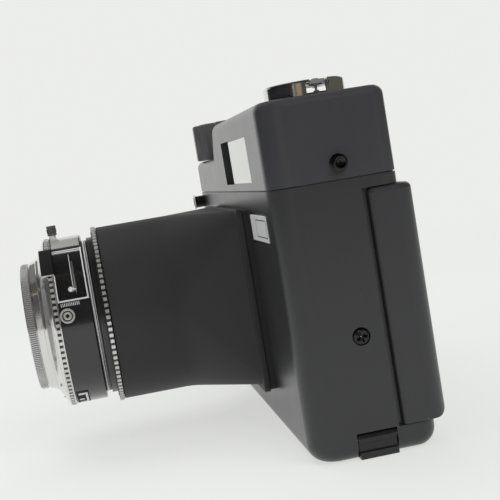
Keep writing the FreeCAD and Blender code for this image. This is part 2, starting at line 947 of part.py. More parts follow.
def door_release():
    y0, y1 = release_span()
    x, z = release_axis()
    inner = half_width - release_thickness
    shape = block(inner, half_width, y0, y1, free_gap, z)
    shape = shape.fuse(rod(release_thickness / 2, point(x, y0, z), Y_AXIS, release_width))
    shape = shape.cut(block(half_width - release_ridge, half_width + 1, y0 - 1, y1 + 1,
                            release_ridge_height, z - release_ridge))
    bore = rod(release_pin_radius + running_gap, point(x, y0 - 1, z), Y_AXIS, release_width + 2)
    keep("door_release", shape.cut(bore))


def release_pin():
    y0 = release_span()[0]
    x, z = release_axis()
    keep("release_pin", release_rod(x, y0, z))


# Fittings

def tripod_bush():
    shape = upright(bush_radius, 0, 0, 0, bush_height)
    shape = shape.fuse(upright(bush_flange_radius, 0, 0, floor_wall, floor_wall + bush_flange))
    shape = shape.cut(upright(tripod_radius, 0, 0, -1, tripod_depth))
    keep("tripod_bush", shape)


def nameplate():
    y0 = front_y + nameplate_recess - nameplate_thickness
    shape = block(nameplate_left, nameplate_right, y0, front_y + nameplate_recess,
                  nameplate_bottom, nameplate_top)
    keep("nameplate", shape)


def strap_studs():
    studs = []
    for sign in (-1, 1):
        axis = X_AXIS * sign
        foot = point(sign * (half_width - cover_wall), strap_y, strap_z)
        seat = point(sign * half_width, strap_y, strap_z)
        stud = rod(strap_neck_radius, foot, axis, cover_wall + strap_flange + strap_neck)
        stud = stud.fuse(rod(strap_flange_radius, seat, axis, strap_flange))
        head = seat + axis * (strap_flange + strap_neck)
        stud = stud.fuse(crossed_head(head, axis, Z_AXIS, strap_head_radius, strap_head))
        studs.append(stud)
    keep("strap_studs", Part.makeCompound(studs))


def side_screws():
    screws = []
    for sign in (-1, 1):
        axis = X_AXIS * sign
        foot = point(sign * cavity_half, side_screw_y, side_screw_z)
        seat = point(sign * (half_width - side_screw_head), side_screw_y, side_screw_z)
        screw = rod(side_screw_shank, foot, axis, end_wall - side_screw_head)
        lean = math.radians(side_screw_turn)
        turned_across = point(0, math.sin(lean), math.cos(lean))
        screw = screw.fuse(crossed_head(seat, axis, turned_across, side_screw_radius, side_screw_head))
        screws.append(screw)
    keep("side_screws", Part.makeCompound(screws))


def wind_button():
    tip = point(button_x, front_y - button_reach, button_z)
    inside = front_y + front_wall
    shape = rod(button_radius, tip, Y_AXIS, inside - tip.y + button_collar)
    shape = round_edges(shape, button_edge, lambda edge: near(edge.BoundBox.YMax, tip.y))
    shape = shape.fuse(rod(button_collar_radius, point(button_x, inside, button_z), Y_AXIS, button_collar))
    keep("wind_button", shape)


def button_spring():
    """A short sleeve that stands for the coil behind the button."""
    base = point(button_x, front_y + front_wall + button_collar, button_z)
    shape = rod(button_spring_radius, base, Y_AXIS, button_spring_length)
    bore = rod(button_spring_radius - button_spring_wall, base, Y_AXIS, button_spring_length)
    keep("button_spring", shape.cut(bore))


def button_bracket():
    """A sheet stirrup behind the button, under the front wall, that backs its spring."""
    reach = bracket_reach
    z0 = button_z - bracket_height / 2
    z1 = button_z + bracket_height / 2
    shape = block(button_x - reach, button_x + reach, bracket_back, bracket_back + bracket_sheet, z0, z1)
    for side in (-1, 1):
        x0, x1 = sorted((button_x + side * reach, button_x + side * (reach - bracket_sheet)))
        shape = shape.fuse(block(x0, x1, front_y + front_wall, bracket_back, z0, z1))
    keep("button_bracket", shape)


# Film transport

def spool_pivots():
    pivots = []
    for x in (-spool_x, spool_x):
        shoulder_top = spool_bottom - free_gap
        pivot = upright(pivot_shoulder_radius, x, spool_y, lower_deck_top, shoulder_top)
        pivot = pivot.fuse(upright(spool_end_bore - running_gap, x, spool_y,
                                   shoulder_top, spool_bottom + pivot_pin_length))
        pivots.append(pivot)
    keep("spool_pivots", Part.makeCompound(pivots))


def take_up_spool():
    shape = upright(spool_core_radius, -spool_x, spool_y, spool_bottom, spool_top)
    shape = shape.fuse(upright(spool_flange_radius, -spool_x, spool_y,
                               spool_bottom, spool_bottom + spool_flange))
    shape = shape.fuse(upright(spool_flange_radius, -spool_x, spool_y,
                               spool_top - spool_flange, spool_top))
    shape = shape.cut(upright(spool_end_bore, -spool_x, spool_y,
                              spool_bottom - 1, spool_bottom + pivot_pin_length + 1))
    slot_half = key_length / 2 + free_gap
    key_half = key_width / 2 + free_gap
    shape = shape.cut(block(-spool_x - slot_half, -spool_x + slot_half, spool_y - key_half,
                            spool_y + key_half, spool_top - key_depth - free_gap, spool_top + 1))
    across = film_slot_width / 2
    reach = spool_core_radius + 1
    film_slot = block(-spool_x - across, -spool_x + across, spool_y - reach, spool_y + reach,
                      lens_height - film_slot_length / 2, lens_height + film_slot_length / 2)
    keep("take_up_spool", shape.cut(film_slot))


def drive_shaft(x, top):
    """A shaft through the upper deck, with the key that turns a film spool."""
    key_bottom = spool_top - key_depth
    collar_bottom = upper_deck_bottom - free_gap - shaft_collar
    shape = upright(shaft_radius, x, spool_y, collar_bottom, top)
    shape = shape.fuse(upright(shaft_collar_radius, x, spool_y,
                               upper_deck_top + free_gap, upper_deck_top + free_gap + shaft_collar))
    key = block(x - key_length / 2, x + key_length / 2, spool_y - key_width / 2,
                spool_y + key_width / 2, key_bottom, collar_bottom)
    return shape.fuse(key)


def wind_shaft():
    keep("wind_shaft", drive_shaft(-spool_x, shoulder_height + free_gap))


def wind_knob():
    base = shoulder_height + free_gap
    shape = upright(wind_radius, -spool_x, spool_y, base, wind_top)
    for index in range(wind_lobes):
        angle = 2 * math.pi * (index + 0.5) / wind_lobes
        reach = wind_radius + wind_flute_radius - wind_flute_depth
        shape = shape.cut(upright(wind_flute_radius, -spool_x + reach * math.cos(angle),
                                  spool_y + reach * math.sin(angle), base - 1, wind_top + 1))
    shape = shape.cut(upright(wind_cap_radius + seat_gap, -spool_x, spool_y,
                              wind_top - wind_cap, wind_top + 1))
    keep("wind_knob", shape)


def wind_knob_cap():
    shape = upright(wind_cap_radius, -spool_x, spool_y, wind_top - wind_cap, wind_top)
    half = wind_cap_slot / 2
    slot = block(-spool_x - half, -spool_x + half, spool_y - screw_slot, spool_y + screw_slot,
                 wind_top - wind_cap / 2, wind_top + 1)
    keep("wind_knob_cap", shape.cut(slot))


def crank_shaft():
    keep("crank_shaft", drive_shaft(spool_x, crank_base))


def crank_knob():
    shape = upright(crank_radius, spool_x, spool_y, crank_base, crank_top)
    shape = round_edges(shape, crank_edge, lambda edge: near(edge.BoundBox.ZMin, crank_top))
    half = crank_slot_width / 2
    shape = shape.cut(block(spool_x - crank_radius - 1, spool_x + crank_radius + 1,
                            crank_y - half, crank_y + half,
                            crank_base + crank_slot_floor, crank_top + 1))
    reach = half + crank_trunnion + free_gap
    bore = rod(crank_trunnion_radius + running_gap, crank_pivot(-reach), Y_AXIS, 2 * reach)
    keep("crank_knob", shape.cut(bore))


def crank_pivot(offset):
    return point(spool_x + crank_pivot_x, crank_y + offset, crank_top - crank_arm / 2 - crank_arm_sink)


def crank_arm_piece():
    centre = crank_pivot(0)
    half = crank_arm_width / 2
    z0 = centre.z - crank_arm / 2
    shape = block(centre.x, centre.x + crank_arm_length, crank_y - half, crank_y + half,
                  z0, z0 + crank_arm)
    shape = shape.fuse(rod(crank_arm / 2, crank_pivot(-half), Y_AXIS, crank_arm_width))
    reach = crank_slot_width / 2 + crank_trunnion
    shape = shape.fuse(rod(crank_trunnion_radius, crank_pivot(-reach), Y_AXIS, 2 * reach))
    grip_x = crank_grip_x()
    keep("crank_arm", shape.cut(upright(crank_rivet_radius + running_gap, grip_x, crank_y,
                                        z0 - 1, z0 + crank_arm + 1)))


def crank_grip_x():
    return spool_x + crank_pivot_x + crank_arm_length - crank_grip_radius - crank_grip_margin


def crank_grip():
    """A small turning grip that hangs under the folded arm on its own rivet."""
    x = crank_grip_x()
    z1 = crank_pivot(0).z - crank_arm / 2 - seat_gap
    head = z1 + crank_arm + 2 * seat_gap
    shape = upright(crank_grip_radius, x, crank_y, z1 - crank_grip_length, z1)
    shape = shape.fuse(upright(crank_rivet_radius, x, crank_y, z1, head))
    shape = shape.fuse(upright(crank_rivet_head_radius, x, crank_y, head, head + crank_rivet_head))
    keep("crank_grip", shape)


def guide_roller(name, x):
    bottom = lower_deck_top + free_gap
    top = upper_deck_bottom - free_gap
    stub = roller_stub - running_gap * 2
    shape = upright(roller_radius, x, roller_y, bottom, top)
    shape = shape.fuse(upright(roller_stub_radius, x, roller_y, lower_deck_top - stub,
                               upper_deck_bottom + stub))
    keep(name, shape)


# Finder

def finder_tunnel():
    y0 = front_y + cover_wall
    y1 = rear_y - cover_wall
    outer = block(window_left - tunnel_shell, window_right + tunnel_shell, y0, y1,
                  window_bottom - tunnel_shell, window_top + tunnel_shell)
    inner = block(window_left, window_right, y0 - 1, y1 - tunnel_rear_wall, window_bottom, window_top)
    shape = outer.cut(inner)
    bore = rod(eyepiece_radius, point(finder_x, y1 - tunnel_rear_wall - 1, finder_z), Y_AXIS,
               tunnel_rear_wall + 2)
    keep("finder_tunnel", shape.cut(bore))


def finder_window():
    y0 = front_y + window_depth
    keep("finder_window", block(window_left, window_right, y0, y0 + window_glass,
                                window_bottom, window_top))


def finder_objective():
    """The negative front lens: a rectangular pane with a dished rear face."""
    half = (window_right - window_left) / 2
    y1 = objective_y + objective_thickness
    shape = block(window_left, window_right, objective_y, y1, window_bottom, window_top)
    radius = (half ** 2 + objective_dish ** 2) / (2 * objective_dish)
    ball = Part.makeSphere(radius, point(finder_x, y1 - objective_dish + radius, finder_z))
    keep("finder_objective", shape.cut(ball))


def finder_eyepiece():
    y1 = rear_y - cover_wall / 2
    y0 = y1 - eyepiece_thickness
    shape = rod(eyepiece_radius, point(finder_x, y0, finder_z), Y_AXIS, eyepiece_thickness)
    radius = (eyepiece_radius ** 2 + eyepiece_crown ** 2) / (2 * eyepiece_crown)
    ball = Part.makeSphere(radius, point(finder_x, y1 - radius, finder_z))
    keep("finder_eyepiece", shape.common(ball))


def eyepiece_frame():
    wide = eyepiece_frame_width / 2
    tall = eyepiece_frame_height / 2
    shape = block(finder_x - wide, finder_x + wide, rear_y, rear_y + eyepiece_frame_depth,
                  finder_z - tall, finder_z + tall)
    shape = round_edges(shape, eyepiece_corner, lambda edge: runs_along(edge, Y_AXIS))
    shape = round_edges(shape, eyepiece_edge,
                        lambda edge: near(edge.BoundBox.YMin, rear_y + eyepiece_frame_depth))
    hole = rod(eyepiece_radius, point(finder_x, rear_y - 1, finder_z), Y_AXIS, eyepiece_frame_depth + 2)
    keep("eyepiece_frame", shape.cut(hole))


# Lens tube and focusing mount

def rounded_loop(half, tall, corner, y):
    """A rounded rectangle a little above the lens axis, from eight edges."""
    edges = []
    for index in range(4):
        side_x = 1 if index in (0, 3) else -1
        side_z = 1 if index in (0, 1) else -1
        centre = point(side_x * (half - corner), y, flare_middle + side_z * (tall - corner))
        start = 90 * index
        edges.append(arc_edge(centre, corner, start, start + 90))
    loop = []
    for index in range(4):
        here = edges[index]
        after = edges[(index + 1) % 4]
        loop.append(here)
        loop.append(Part.makeLine(here.Vertexes[-1].Point, after.Vertexes[0].Point))
    return Part.Wire(loop)


def arc_edge(centre, radius, start, end):
    places = []
    for angle in (start, (start + end) / 2, end):
        turn = math.radians(angle)
        places.append(centre + point(math.cos(turn) * radius, 0, math.sin(turn) * radius))
    return Part.Arc(*places).toShape()


def round_loop(radius, y):
    """A circle in eight arcs: long ones face the rectangle's corners, short ones its sides."""
    angles = []
    for quarter in range(4):
        angles.append(90 * quarter + flare_flat_angle)
        angles.append(90 * (quarter + 1) - flare_flat_angle)
    centre = point(0, y, lens_height)
    arcs = []
    for index, angle in enumerate(angles):
        after = angles[(index + 1) % 8]
        if after < angle:
            after += 360
        arcs.append(arc_edge(centre, radius, angle, after))
    return Part.Wire(arcs)


def flare(round_radius, half, tall, corner, front, rear):
    """The stretch where the round tube widens into a rectangle at the flange."""
    small = round_loop(round_radius, ahead(front))
    large = rounded_loop(half, tall, corner, ahead(rear))
    return Part.makeLoft([small, large], True, True)


def flare_shell():
    half = flare_width / 2
    tall = flare_height / 2
    outside = flare(tube_radius, half, tall, flare_corner, tube_round_to, flange_depth)
    inside = flare(tube_bore, half - flare_wall, tall - flare_wall, flare_inner_corner,
                   tube_round_to, flange_depth)
    return outside.cut(inside)


def flange_plate(inset, rear, front):
    """A plate round the light path, as thick as the two reaches say."""
    wide = flange_width / 2 - inset
    high = flange_height / 2 - inset
    plate = block(-wide, wide, ahead(front), ahead(rear), lens_height - high, lens_height + high)
    plate = round_edges(plate, flange_corner, lambda edge: runs_along(edge, Y_AXIS))
    return plate.cut(lens_opening(ahead(front) - 1, ahead(rear) + 1))


def lens_tube():
    front = tube_reach + spigot_length
    shape = disc(tube_radius, tube_round_to, tube_reach)
    shape = shape.fuse(disc(spigot_radius, tube_reach - 1, front))
    shape = shape.cut(disc(tube_bore, tube_round_to - 1, front + 1))
    shape = shape.fuse(flare_shell())
    shape = shape.fuse(flange_plate(0, flange_foot, flange_depth))
    shape = shape.fuse(flange_plate(flange_foot_step, 0, flange_foot))
    for place in flange_screw_places():
        bore = rod(flange_screw_radius, place, FORWARD, front_wall + flange_depth - flange_screw_cover)
        shape = shape.cut(bore)
    keep("lens_tube", shape)


def flange_screws():
    """Four screws from inside the case that hold the tube's flange."""
    screws = []
    for place in flange_screw_places():
        length = front_wall + flange_depth - flange_screw_cover - seat_gap
        screw = rod(flange_screw_radius, place, FORWARD, length)
        screw = screw.fuse(rod(flange_screw_head_radius, place, Y_AXIS, flange_screw_head))
        screws.append(screw)
    keep("flange_screws", Part.makeCompound(screws))


def focus_ring():
    rear = tube_reach + seat_gap
    front = rear + focus_ring_width
    keep("focus_ring", ring(spigot_radius + running_gap, focus_ring_radius, rear, front))


def focus_barrel():
    """The tube that carries the shutter and slides in the lens tube's bore."""
    inner = barrel_radius - barrel_wall
    outline = [(inner, barrel_rear), (barrel_radius, barrel_rear), (barrel_radius, barrel_front),
               (neck_radius + seat_gap, barrel_front), (neck_radius + seat_gap, barrel_front - barrel_web),
               (inner, barrel_front - barrel_web)]
    keep("focus_barrel", turned(outline))


# Leaf shutter

def shutter_case():
    neck_inner = neck_radius - neck_wall
    outline = [(neck_inner, neck_rear), (neck_radius, neck_rear), (neck_radius, shutter_rear),
               (shutter_radius - shutter_chamfer, shutter_rear),
               (shutter_radius, shutter_rear + shutter_chamfer),
               (shutter_radius, shutter_front), (shutter_spigot_radius, shutter_front),
               (shutter_spigot_radius, shutter_spigot_front),
               (shutter_cavity_radius, shutter_spigot_front),
               (shutter_cavity_radius, shutter_rear + shutter_back),
               (neck_inner, shutter_rear + shutter_back)]
    shape = turned(outline)
    shape = shape.fuse(ring(aperture_radius, shutter_cavity_radius + root, ledge_rear, ledge_front))
    pin_length = blade_rear(blade_count) - ledge_front
    for index in range(blade_count):
        foot = around(blade_angle(index), blade_pivot_radius, ledge_front - root)
        shape = shape.fuse(rod(blade_pin_radius, foot, FORWARD, pin_length + root))
    slot = slot_width / 2
    reach = shutter_radius + 1
    shape = shape.cut(sector(shutter_cavity_radius - 1, reach, aperture_slot - slot, aperture_slot + slot,
                             aperture_start - slot_spare_angle,
                             aperture_start + aperture_swing + slot_spare_angle))
    wide = lever_half_angle() + lever_spare_angle
    shape = shape.cut(sector(shutter_cavity_radius - 1, reach, cocking_reach - slot, cocking_reach + slot,
                             cocking_angle - wide, cocking_angle + cocking_swing + wide))
    shape = shape.cut(sector(shutter_cavity_radius - 1, reach, release_reach - slot, release_reach + slot,
                             release_angle - wide, release_angle + release_turn + wide))
    axis = outward(sync_angle)
    shape = shape.cut(rod(sync_inner_radius, around(sync_angle, shutter_cavity_radius - 1, sync_reach),
                          axis, 6))
    top = around(90, shutter_cavity_radius - 1, cable_reach)
    shape = shape.cut(rod(cable_neck_radius, top, Z_AXIS, 6))
    keep("shutter_case", shape)


def lever_half_angle():
    return math.degrees(lever_width / 2 / shutter_cavity_radius)


def shutter_rear_rim():
    shape = ring(rear_rim_bore, rear_rim_radius, barrel_front, shutter_rear)
    keep("shutter_rear_rim", shape)


def retaining_ring():
    front = barrel_front - barrel_web
    shape = ring(neck_radius, retaining_radius, front - retaining_depth, front)
    for angle in (0, 180):
        notch = sector(retaining_radius - retaining_notch, retaining_radius + 1,
                       front - retaining_depth - 1, front - retaining_depth / 2,
                       angle - retaining_notch_angle / 2, angle + retaining_notch_angle / 2)
        shape = shape.cut(notch)
    keep("retaining_ring", shape)


def scale_window():
    shape = sector(shutter_radius, shutter_radius + scale_glass, scale_rear, scale_front,
                   scale_low_angle, scale_high_angle)
    slot = slot_width / 2
    shape = shape.cut(sector(shutter_radius - 1, shutter_radius + 2, aperture_slot - slot,
                             aperture_slot + slot, aperture_start - slot_spare_angle,
                             aperture_start + aperture_swing + slot_spare_angle))
    keep("scale_window", shape)


def scale_frame():
    """A bright bezel round the scale window, with a guard that reaches over the speed ring."""
    outer = shutter_radius + scale_frame_height
    low = scale_low_angle - math.degrees(scale_frame_width / shutter_radius)
    high = scale_high_angle + math.degrees(scale_head_width / shutter_radius)
    inner = shutter_radius
    rear_bar = sector(inner, outer, shutter_rear + shutter_chamfer, scale_rear, low, high)
    front_bar = sector(inner, outer, scale_front, shutter_front, low, high)
    low_bar = sector(inner, outer, scale_rear, scale_front, low, scale_low_angle)
    high_bar = sector(inner, outer, scale_rear, scale_front, scale_high_angle, high)
    cover = speed_ring_radius + guard_gap
    roof = sector(cover, cover + guard_thickness, scale_front, shutter_front + guard_ahead,
                  guard_low_angle, guard_high_angle)
    riser = sector(inner, cover + guard_thickness, scale_front, shutter_front,
                   guard_low_angle, guard_high_angle)
    keep("scale_frame", rear_bar.fuse([front_bar, low_bar, high_bar, riser, roof]))


def lever_ring(reach):
    """The thin ring inside the case that a lever's tab stands on."""
    half = lever_ring_thickness / 2
    return ring(lever_ring_inner, lever_ring_radius, reach - half, reach + half)


def aperture_lever():
    shape = lever_ring(aperture_slot)
    ball_radius = shutter_radius + scale_glass + aperture_ball + free_gap
    axis = outward(aperture_start)
    foot = around(aperture_start, lever_ring_radius - 1, aperture_slot)
    shape = shape.fuse(rod(aperture_stud, foot, axis, ball_radius - lever_ring_radius + 1))
    tip = around(aperture_start, ball_radius, aperture_slot)
    shape = shape.fuse(rod(aperture_stud, tip, FORWARD, aperture_arm))
    shape = shape.fuse(Part.makeSphere(aperture_ball, around(aperture_start, ball_radius,
                                                             aperture_slot + aperture_arm)))
    keep("aperture_lever", shape)


def tab_lever(reach, angle, pad_rear, pad_front):
    """A lever that comes out of the case through a slot and ends in a finger pad."""
    half = lever_half_angle()
    thick = lever_ring_thickness / 2
    shape = lever_ring(reach)
    shape = shape.fuse(sector(lever_ring_radius - 1, lever_tip_radius - root, reach - thick, reach + thick,
                              angle - half, angle + half))
    wide = half * lever_pad_share
    return shape.fuse(sector(lever_tip_radius - lever_pad, lever_tip_radius, pad_rear, pad_front,
                             angle - wide, angle + wide))


def cocking_lever():
    front = cocking_reach + lever_pad_offset
    keep("cocking_lever", tab_lever(cocking_reach, cocking_angle, front - lever_pad_depth, front))


def release_lever():
    rear = release_reach - lever_pad_offset
    keep("release_lever", tab_lever(release_reach, release_angle, rear, rear + lever_pad_depth))


def speed_ring():
    rear = shutter_front + seat_gap
    band = rear + speed_ring_band
    inner = shutter_spigot_radius + running_gap
    step = shutter_spigot_front + seat_gap
    outline = [(inner, rear), (speed_ring_radius, rear), (speed_ring_radius, band),
               (speed_ring_radius - speed_ring_step, band), (speed_ring_front_radius, speed_ring_front),
               (speed_ring_bore, speed_ring_front), (speed_ring_bore, step), (inner, step)]
    keep("speed_ring", turned(outline))


def cable_socket():
    foot = around(90, socket_foot, cable_reach)
    shape = rod(cable_neck_radius, foot, Z_AXIS, cable_head_top - socket_foot)
    head = around(90, cable_head_bottom, cable_reach)
    shape = shape.fuse(rod(cable_head_radius, head, Z_AXIS, cable_head_top - cable_head_bottom))
    mouth = around(90, cable_head_top - cable_bore_depth, cable_reach)
    keep("cable_socket", shape.cut(rod(cable_bore, mouth, Z_AXIS, cable_bore_depth + 1)))


def sync_socket():
    """Two coaxial sleeves on a round foot."""
    axis = outward(sync_angle)
    flat = math.sqrt(shutter_radius ** 2 - sync_outer_radius ** 2)
    shape = rod(sync_inner_radius, around(sync_angle, socket_foot, sync_reach),
                axis, shutter_radius + sync_height - socket_foot)
    collar = rod(sync_outer_radius, around(sync_angle, flat, sync_reach), axis,
                 shutter_radius - flat + sync_height)
    collar = collar.cut(rod(sync_outer_radius - sync_ring_wall,
                            around(sync_angle, shutter_radius + root, sync_reach), axis, 5))
    collar = collar.cut(disc(shutter_radius, shutter_rear, shutter_front))
    hole = rod(sync_hole_radius, around(sync_angle, shutter_radius, sync_reach), axis, 5)
    keep("sync_socket", shape.fuse(collar).cut(hole))


def blade_angle(index):
    return 360.0 / blade_count * index


def blade_rear(index):
    return ledge_front + blade_gap + index * blade_pitch


def shutter_blade(index):
    """A thin leaf: a sector over its share of the aperture, tapering out to a hub on its pin."""
    pivot = blade_angle(index)
    rear = blade_rear(index)
    half = 180.0 / blade_count + blade_lap_angle
    centre_line = pivot - blade_lead_angle
    cover = aperture_radius + blade_overlap
    apex = around(centre_line + 180, blade_past_centre, rear)
    low = around(centre_line - half, cover, rear)
    edge = around(centre_line, cover, rear)
    high = around(centre_line + half, cover, rear)
    hub = around(pivot, blade_pivot_radius, rear)
    corners = [apex, low, tangent_point(hub, low, 1), tangent_point(hub, high, -1), high]
    leaf = face_of(corners).extrude(FORWARD * blade_thickness)
    arc = Part.Arc(low, edge, high).toShape()
    crown = Part.Face(Part.Wire([arc, Part.makeLine(high, low)])).extrude(FORWARD * blade_thickness)
    leaf = leaf.fuse(crown).fuse(rod(blade_hub_radius, hub, FORWARD, blade_thickness))
    bore = rod(blade_pin_radius + running_gap, hub, FORWARD, blade_thickness)
    keep("shutter_blade_" + str(index + 1), leaf.cut(bore))


def tangent_point(hub, corner, side):
    """Where the line from a corner touches the hub's edge."""
    away = corner - hub
    turn = math.atan2(away.z, away.x) + side * math.acos(blade_hub_radius / away.Length)
    return hub + point(math.cos(turn), 0, math.sin(turn)) * blade_hub_radius


def diaphragm_blades():
    """The iris leaves at full opening, in a stack behind the ledge."""
    leaves = []
    for index in range(blade_count):
        rear = diaphragm_rear + index * diaphragm_pitch
        start = blade_angle(index)
        leaves.append(sector(diaphragm_inner, diaphragm_outer, rear, rear + diaphragm_leaf,
                             start, start + diaphragm_spread))
    keep("diaphragm_blades", Part.makeCompound(leaves))


def front_plate():
    inner = front_cell_neck + seat_gap
    shape = ring(inner, speed_ring_bore - free_gap, shutter_spigot_front, front_plate_front)
    shape = shape.fuse(ring(inner, shutter_cavity_radius - seat_gap,
                            shutter_spigot_front - front_plate_lip, shutter_spigot_front))
    keep("front_plate", shape)


def front_cell():
    mouth = front_ring_front - filter_depth
    outline = [(front_glass_radius, front_cell_rear), (front_cell_neck, front_cell_rear),
               (front_cell_neck, front_plate_front + seat_gap),
               (front_cell_rear_radius, front_plate_front + seat_gap),
               (front_cell_rear_radius, front_cell_back), (front_cell_waist_radius, front_cell_waist),
               (front_ring_radius - front_cell_groove, front_cell_waist),
               (front_ring_radius - front_cell_groove, front_ring_rear),
               (front_ring_radius, front_ring_rear), (front_ring_radius, front_ring_front),
               (filter_radius, front_ring_front), (filter_radius, mouth),
               (front_glass_radius + cell_chamfer, front_glass_front),
               (front_glass_radius, front_glass_front)]
    keep("front_cell", turned(outline))


def lens_block(radius, rear, front, crown):
    """A glass with a flat rear and a crowned front."""
    shape = disc(radius, rear, front)
    ball_radius = (radius ** 2 + crown ** 2) / (2 * crown)
    ball = Part.makeSphere(ball_radius, point(0, ahead(front) + ball_radius, lens_height))
    return shape.common(ball)


def front_glass():
    keep("front_glass", lens_block(front_glass_radius, front_glass_rear, front_glass_front,
                                   front_glass_crown))


def rear_cell():
    inner = rear_glass_radius
    outline = [(inner, rear_cell_rear), (rear_cell_radius - cell_chamfer, rear_cell_rear),
               (rear_cell_radius, rear_cell_rear + cell_chamfer), (rear_cell_radius, rear_cell_front),
               (inner, rear_cell_front)]
    keep("rear_cell", turned(outline))


def rear_glass():
    shape = disc(rear_glass_radius, rear_glass_rear, rear_glass_front)
    ball_radius = (rear_glass_radius ** 2 + rear_glass_crown ** 2) / (2 * rear_glass_crown)
    ball = Part.makeSphere(ball_radius, point(0, ahead(rear_glass_rear) - ball_radius, lens_height))
    keep("rear_glass", shape.common(ball))


def build():
    main_case()
    top_cover()
    film_gate()
    back_door()
    hinge_leaf_case()
    hinge_pin()
    door_seal()
    pressure_plate()
    pressure_springs()
    door_release()
    release_pin()
    tripod_bush()
    nameplate()
    strap_studs()
    side_screws()
    wind_button()
    button_spring()
    button_bracket()
    spool_pivots()
    take_up_spool()
    wind_shaft()
    wind_knob()
    wind_knob_cap()
    crank_shaft()
    crank_knob()
    crank_arm_piece()
    crank_grip()
    guide_roller("guide_roller_supply", roller_x)
    guide_roller("guide_roller_take_up", -roller_x)
    finder_tunnel()
    finder_window()
    finder_objective()
    finder_eyepiece()
    eyepiece_frame()
    lens_tube()
    flange_screws()
    focus_ring()
    focus_barrel()
    shutter_case()
    for index in range(blade_count):
        shutter_blade(index)
    diaphragm_blades()
    shutter_rear_rim()
    retaining_ring()
    scale_window()
    scale_frame()
    aperture_lever()
    cocking_lever()
    release_lever()
    speed_ring()
    cable_socket()
    sync_socket()
    front_plate()
    front_cell()
    front_glass()
    rear_cell()
    rear_glass()


def export():
    os.makedirs("parts", exist_ok=True)
    for name, shape in pieces.items():
        shape.exportStep("parts/" + name + ".step")
        print(name, "solids", len(shape.Solids), "volume", round(shape.Volume, 1),
              "valid", shape.isValid())


build()
export()
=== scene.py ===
import math

import bmesh
import bpy
from mathutils import Matrix, Vector


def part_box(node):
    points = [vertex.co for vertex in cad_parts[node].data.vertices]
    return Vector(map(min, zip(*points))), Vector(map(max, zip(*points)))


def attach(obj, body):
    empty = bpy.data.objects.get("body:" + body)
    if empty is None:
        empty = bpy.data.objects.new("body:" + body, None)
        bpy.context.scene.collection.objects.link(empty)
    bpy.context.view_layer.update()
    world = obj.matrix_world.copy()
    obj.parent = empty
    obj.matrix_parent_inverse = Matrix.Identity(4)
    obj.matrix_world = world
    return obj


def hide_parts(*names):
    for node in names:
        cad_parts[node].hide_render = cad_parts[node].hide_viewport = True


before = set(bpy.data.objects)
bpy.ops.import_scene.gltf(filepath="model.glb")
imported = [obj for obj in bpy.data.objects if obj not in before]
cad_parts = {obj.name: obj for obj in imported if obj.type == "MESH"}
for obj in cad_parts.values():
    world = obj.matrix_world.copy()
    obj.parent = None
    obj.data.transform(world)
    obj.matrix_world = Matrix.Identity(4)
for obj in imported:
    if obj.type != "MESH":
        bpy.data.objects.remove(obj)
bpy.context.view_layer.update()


# Lower case.
# The cast aluminium lower case, open at the back for the film. It is sprayed
# with a fine-grained black enamel that has a low sheen and a few dust specks.

MM = 0.001
WHITE = (1.0, 1.0, 1.0)
CASE_TINT = (0.97, 0.97, 1.04)
PEEL_SIZE = 0.22
LUMP_SIZE = 0.75
CLOUD_SIZE = 14.0
DUST_CELL = 9.0
DUST_SHARE = 0.022
DUST_PATCH = 31.0
DUST_SHADE = 0.16
WELD_GAP = 0.002
FLAT_ANGLE = 0.5
SHARP_ANGLE = 35.0


class Signal:
    """A socket of a shader tree. Arithmetic on it adds Math nodes."""

    def __init__(self, tree, socket=None):
        self.tree = tree
        self.socket = socket

    def node(self, kind, settings, inputs, outlet=0):
        made = self.tree.nodes.new(kind)
        for name, value in settings.items():
            setattr(made, name, value)
        for name, value in inputs.items():
            if isinstance(value, Signal):
                self.tree.links.new(value.socket, made.inputs[name])
            else:
                made.inputs[name].default_value = value
        return Signal(self.tree, made.outputs[outlet])

    def math(self, operation, first, second=None):
        inputs = {0: first} if second is None else {0: first, 1: second}
        return self.node("ShaderNodeMath", {"operation": operation}, inputs)

    def __add__(self, other):
        return self.math("ADD", self, other)

    def __sub__(self, other):
        return self.math("SUBTRACT", self, other)

    def __rsub__(self, other):
        return self.math("SUBTRACT", other, self)

    def __mul__(self, other):
        return self.math("MULTIPLY", self, other)

    __radd__ = __add__
    __rmul__ = __mul__

    def over(self, low, high):
        """0 below low, 1 above high, smooth between."""
        inputs = {"Value": self, "From Min": low, "From Max": high}
        return self.node("ShaderNodeMapRange", {"interpolation_type": "SMOOTHSTEP"}, inputs)

    def noise(self, size, detail=3.0):
        """Even random value over cells of about that many millimetres."""
        inputs = {"Vector": self, "Scale": 1 / (size * MM), "Detail": detail}
        return self.node("ShaderNodeTexNoise", {}, inputs)

    def cells(self, size):
        """Distance from the middle of the nearest of many scattered cells."""
        return self.node("ShaderNodeTexVoronoi", {}, {"Vector": self, "Scale": 1 / (size * MM)})

    def specks(self, size, share):
        """Small scattered dots: 1 on a dot of that share of its cell."""
        return 1 - self.cells(size).over(share * 0.6, share)

    def stretched(self, factors):
        """The place with each axis scaled, for grain that runs one way."""
        return self.node("ShaderNodeVectorMath", {"operation": "MULTIPLY"}, {0: self, 1: factors})

    def mix(self, first, second):
        """Colour that goes from the first to the second as this goes to 1."""
        ends = {0: self, 6: first, 7: second}
        return self.node("ShaderNodeMix", {"data_type": "RGBA"}, ends, outlet=2)


def new_finish(name):
    """A new material, and the signal that says where on the object it is."""
    material = bpy.data.materials.new(name)
    material.use_nodes = True
    return material, Signal(material.node_tree).node("ShaderNodeTexCoord", {}, {}, "Object")


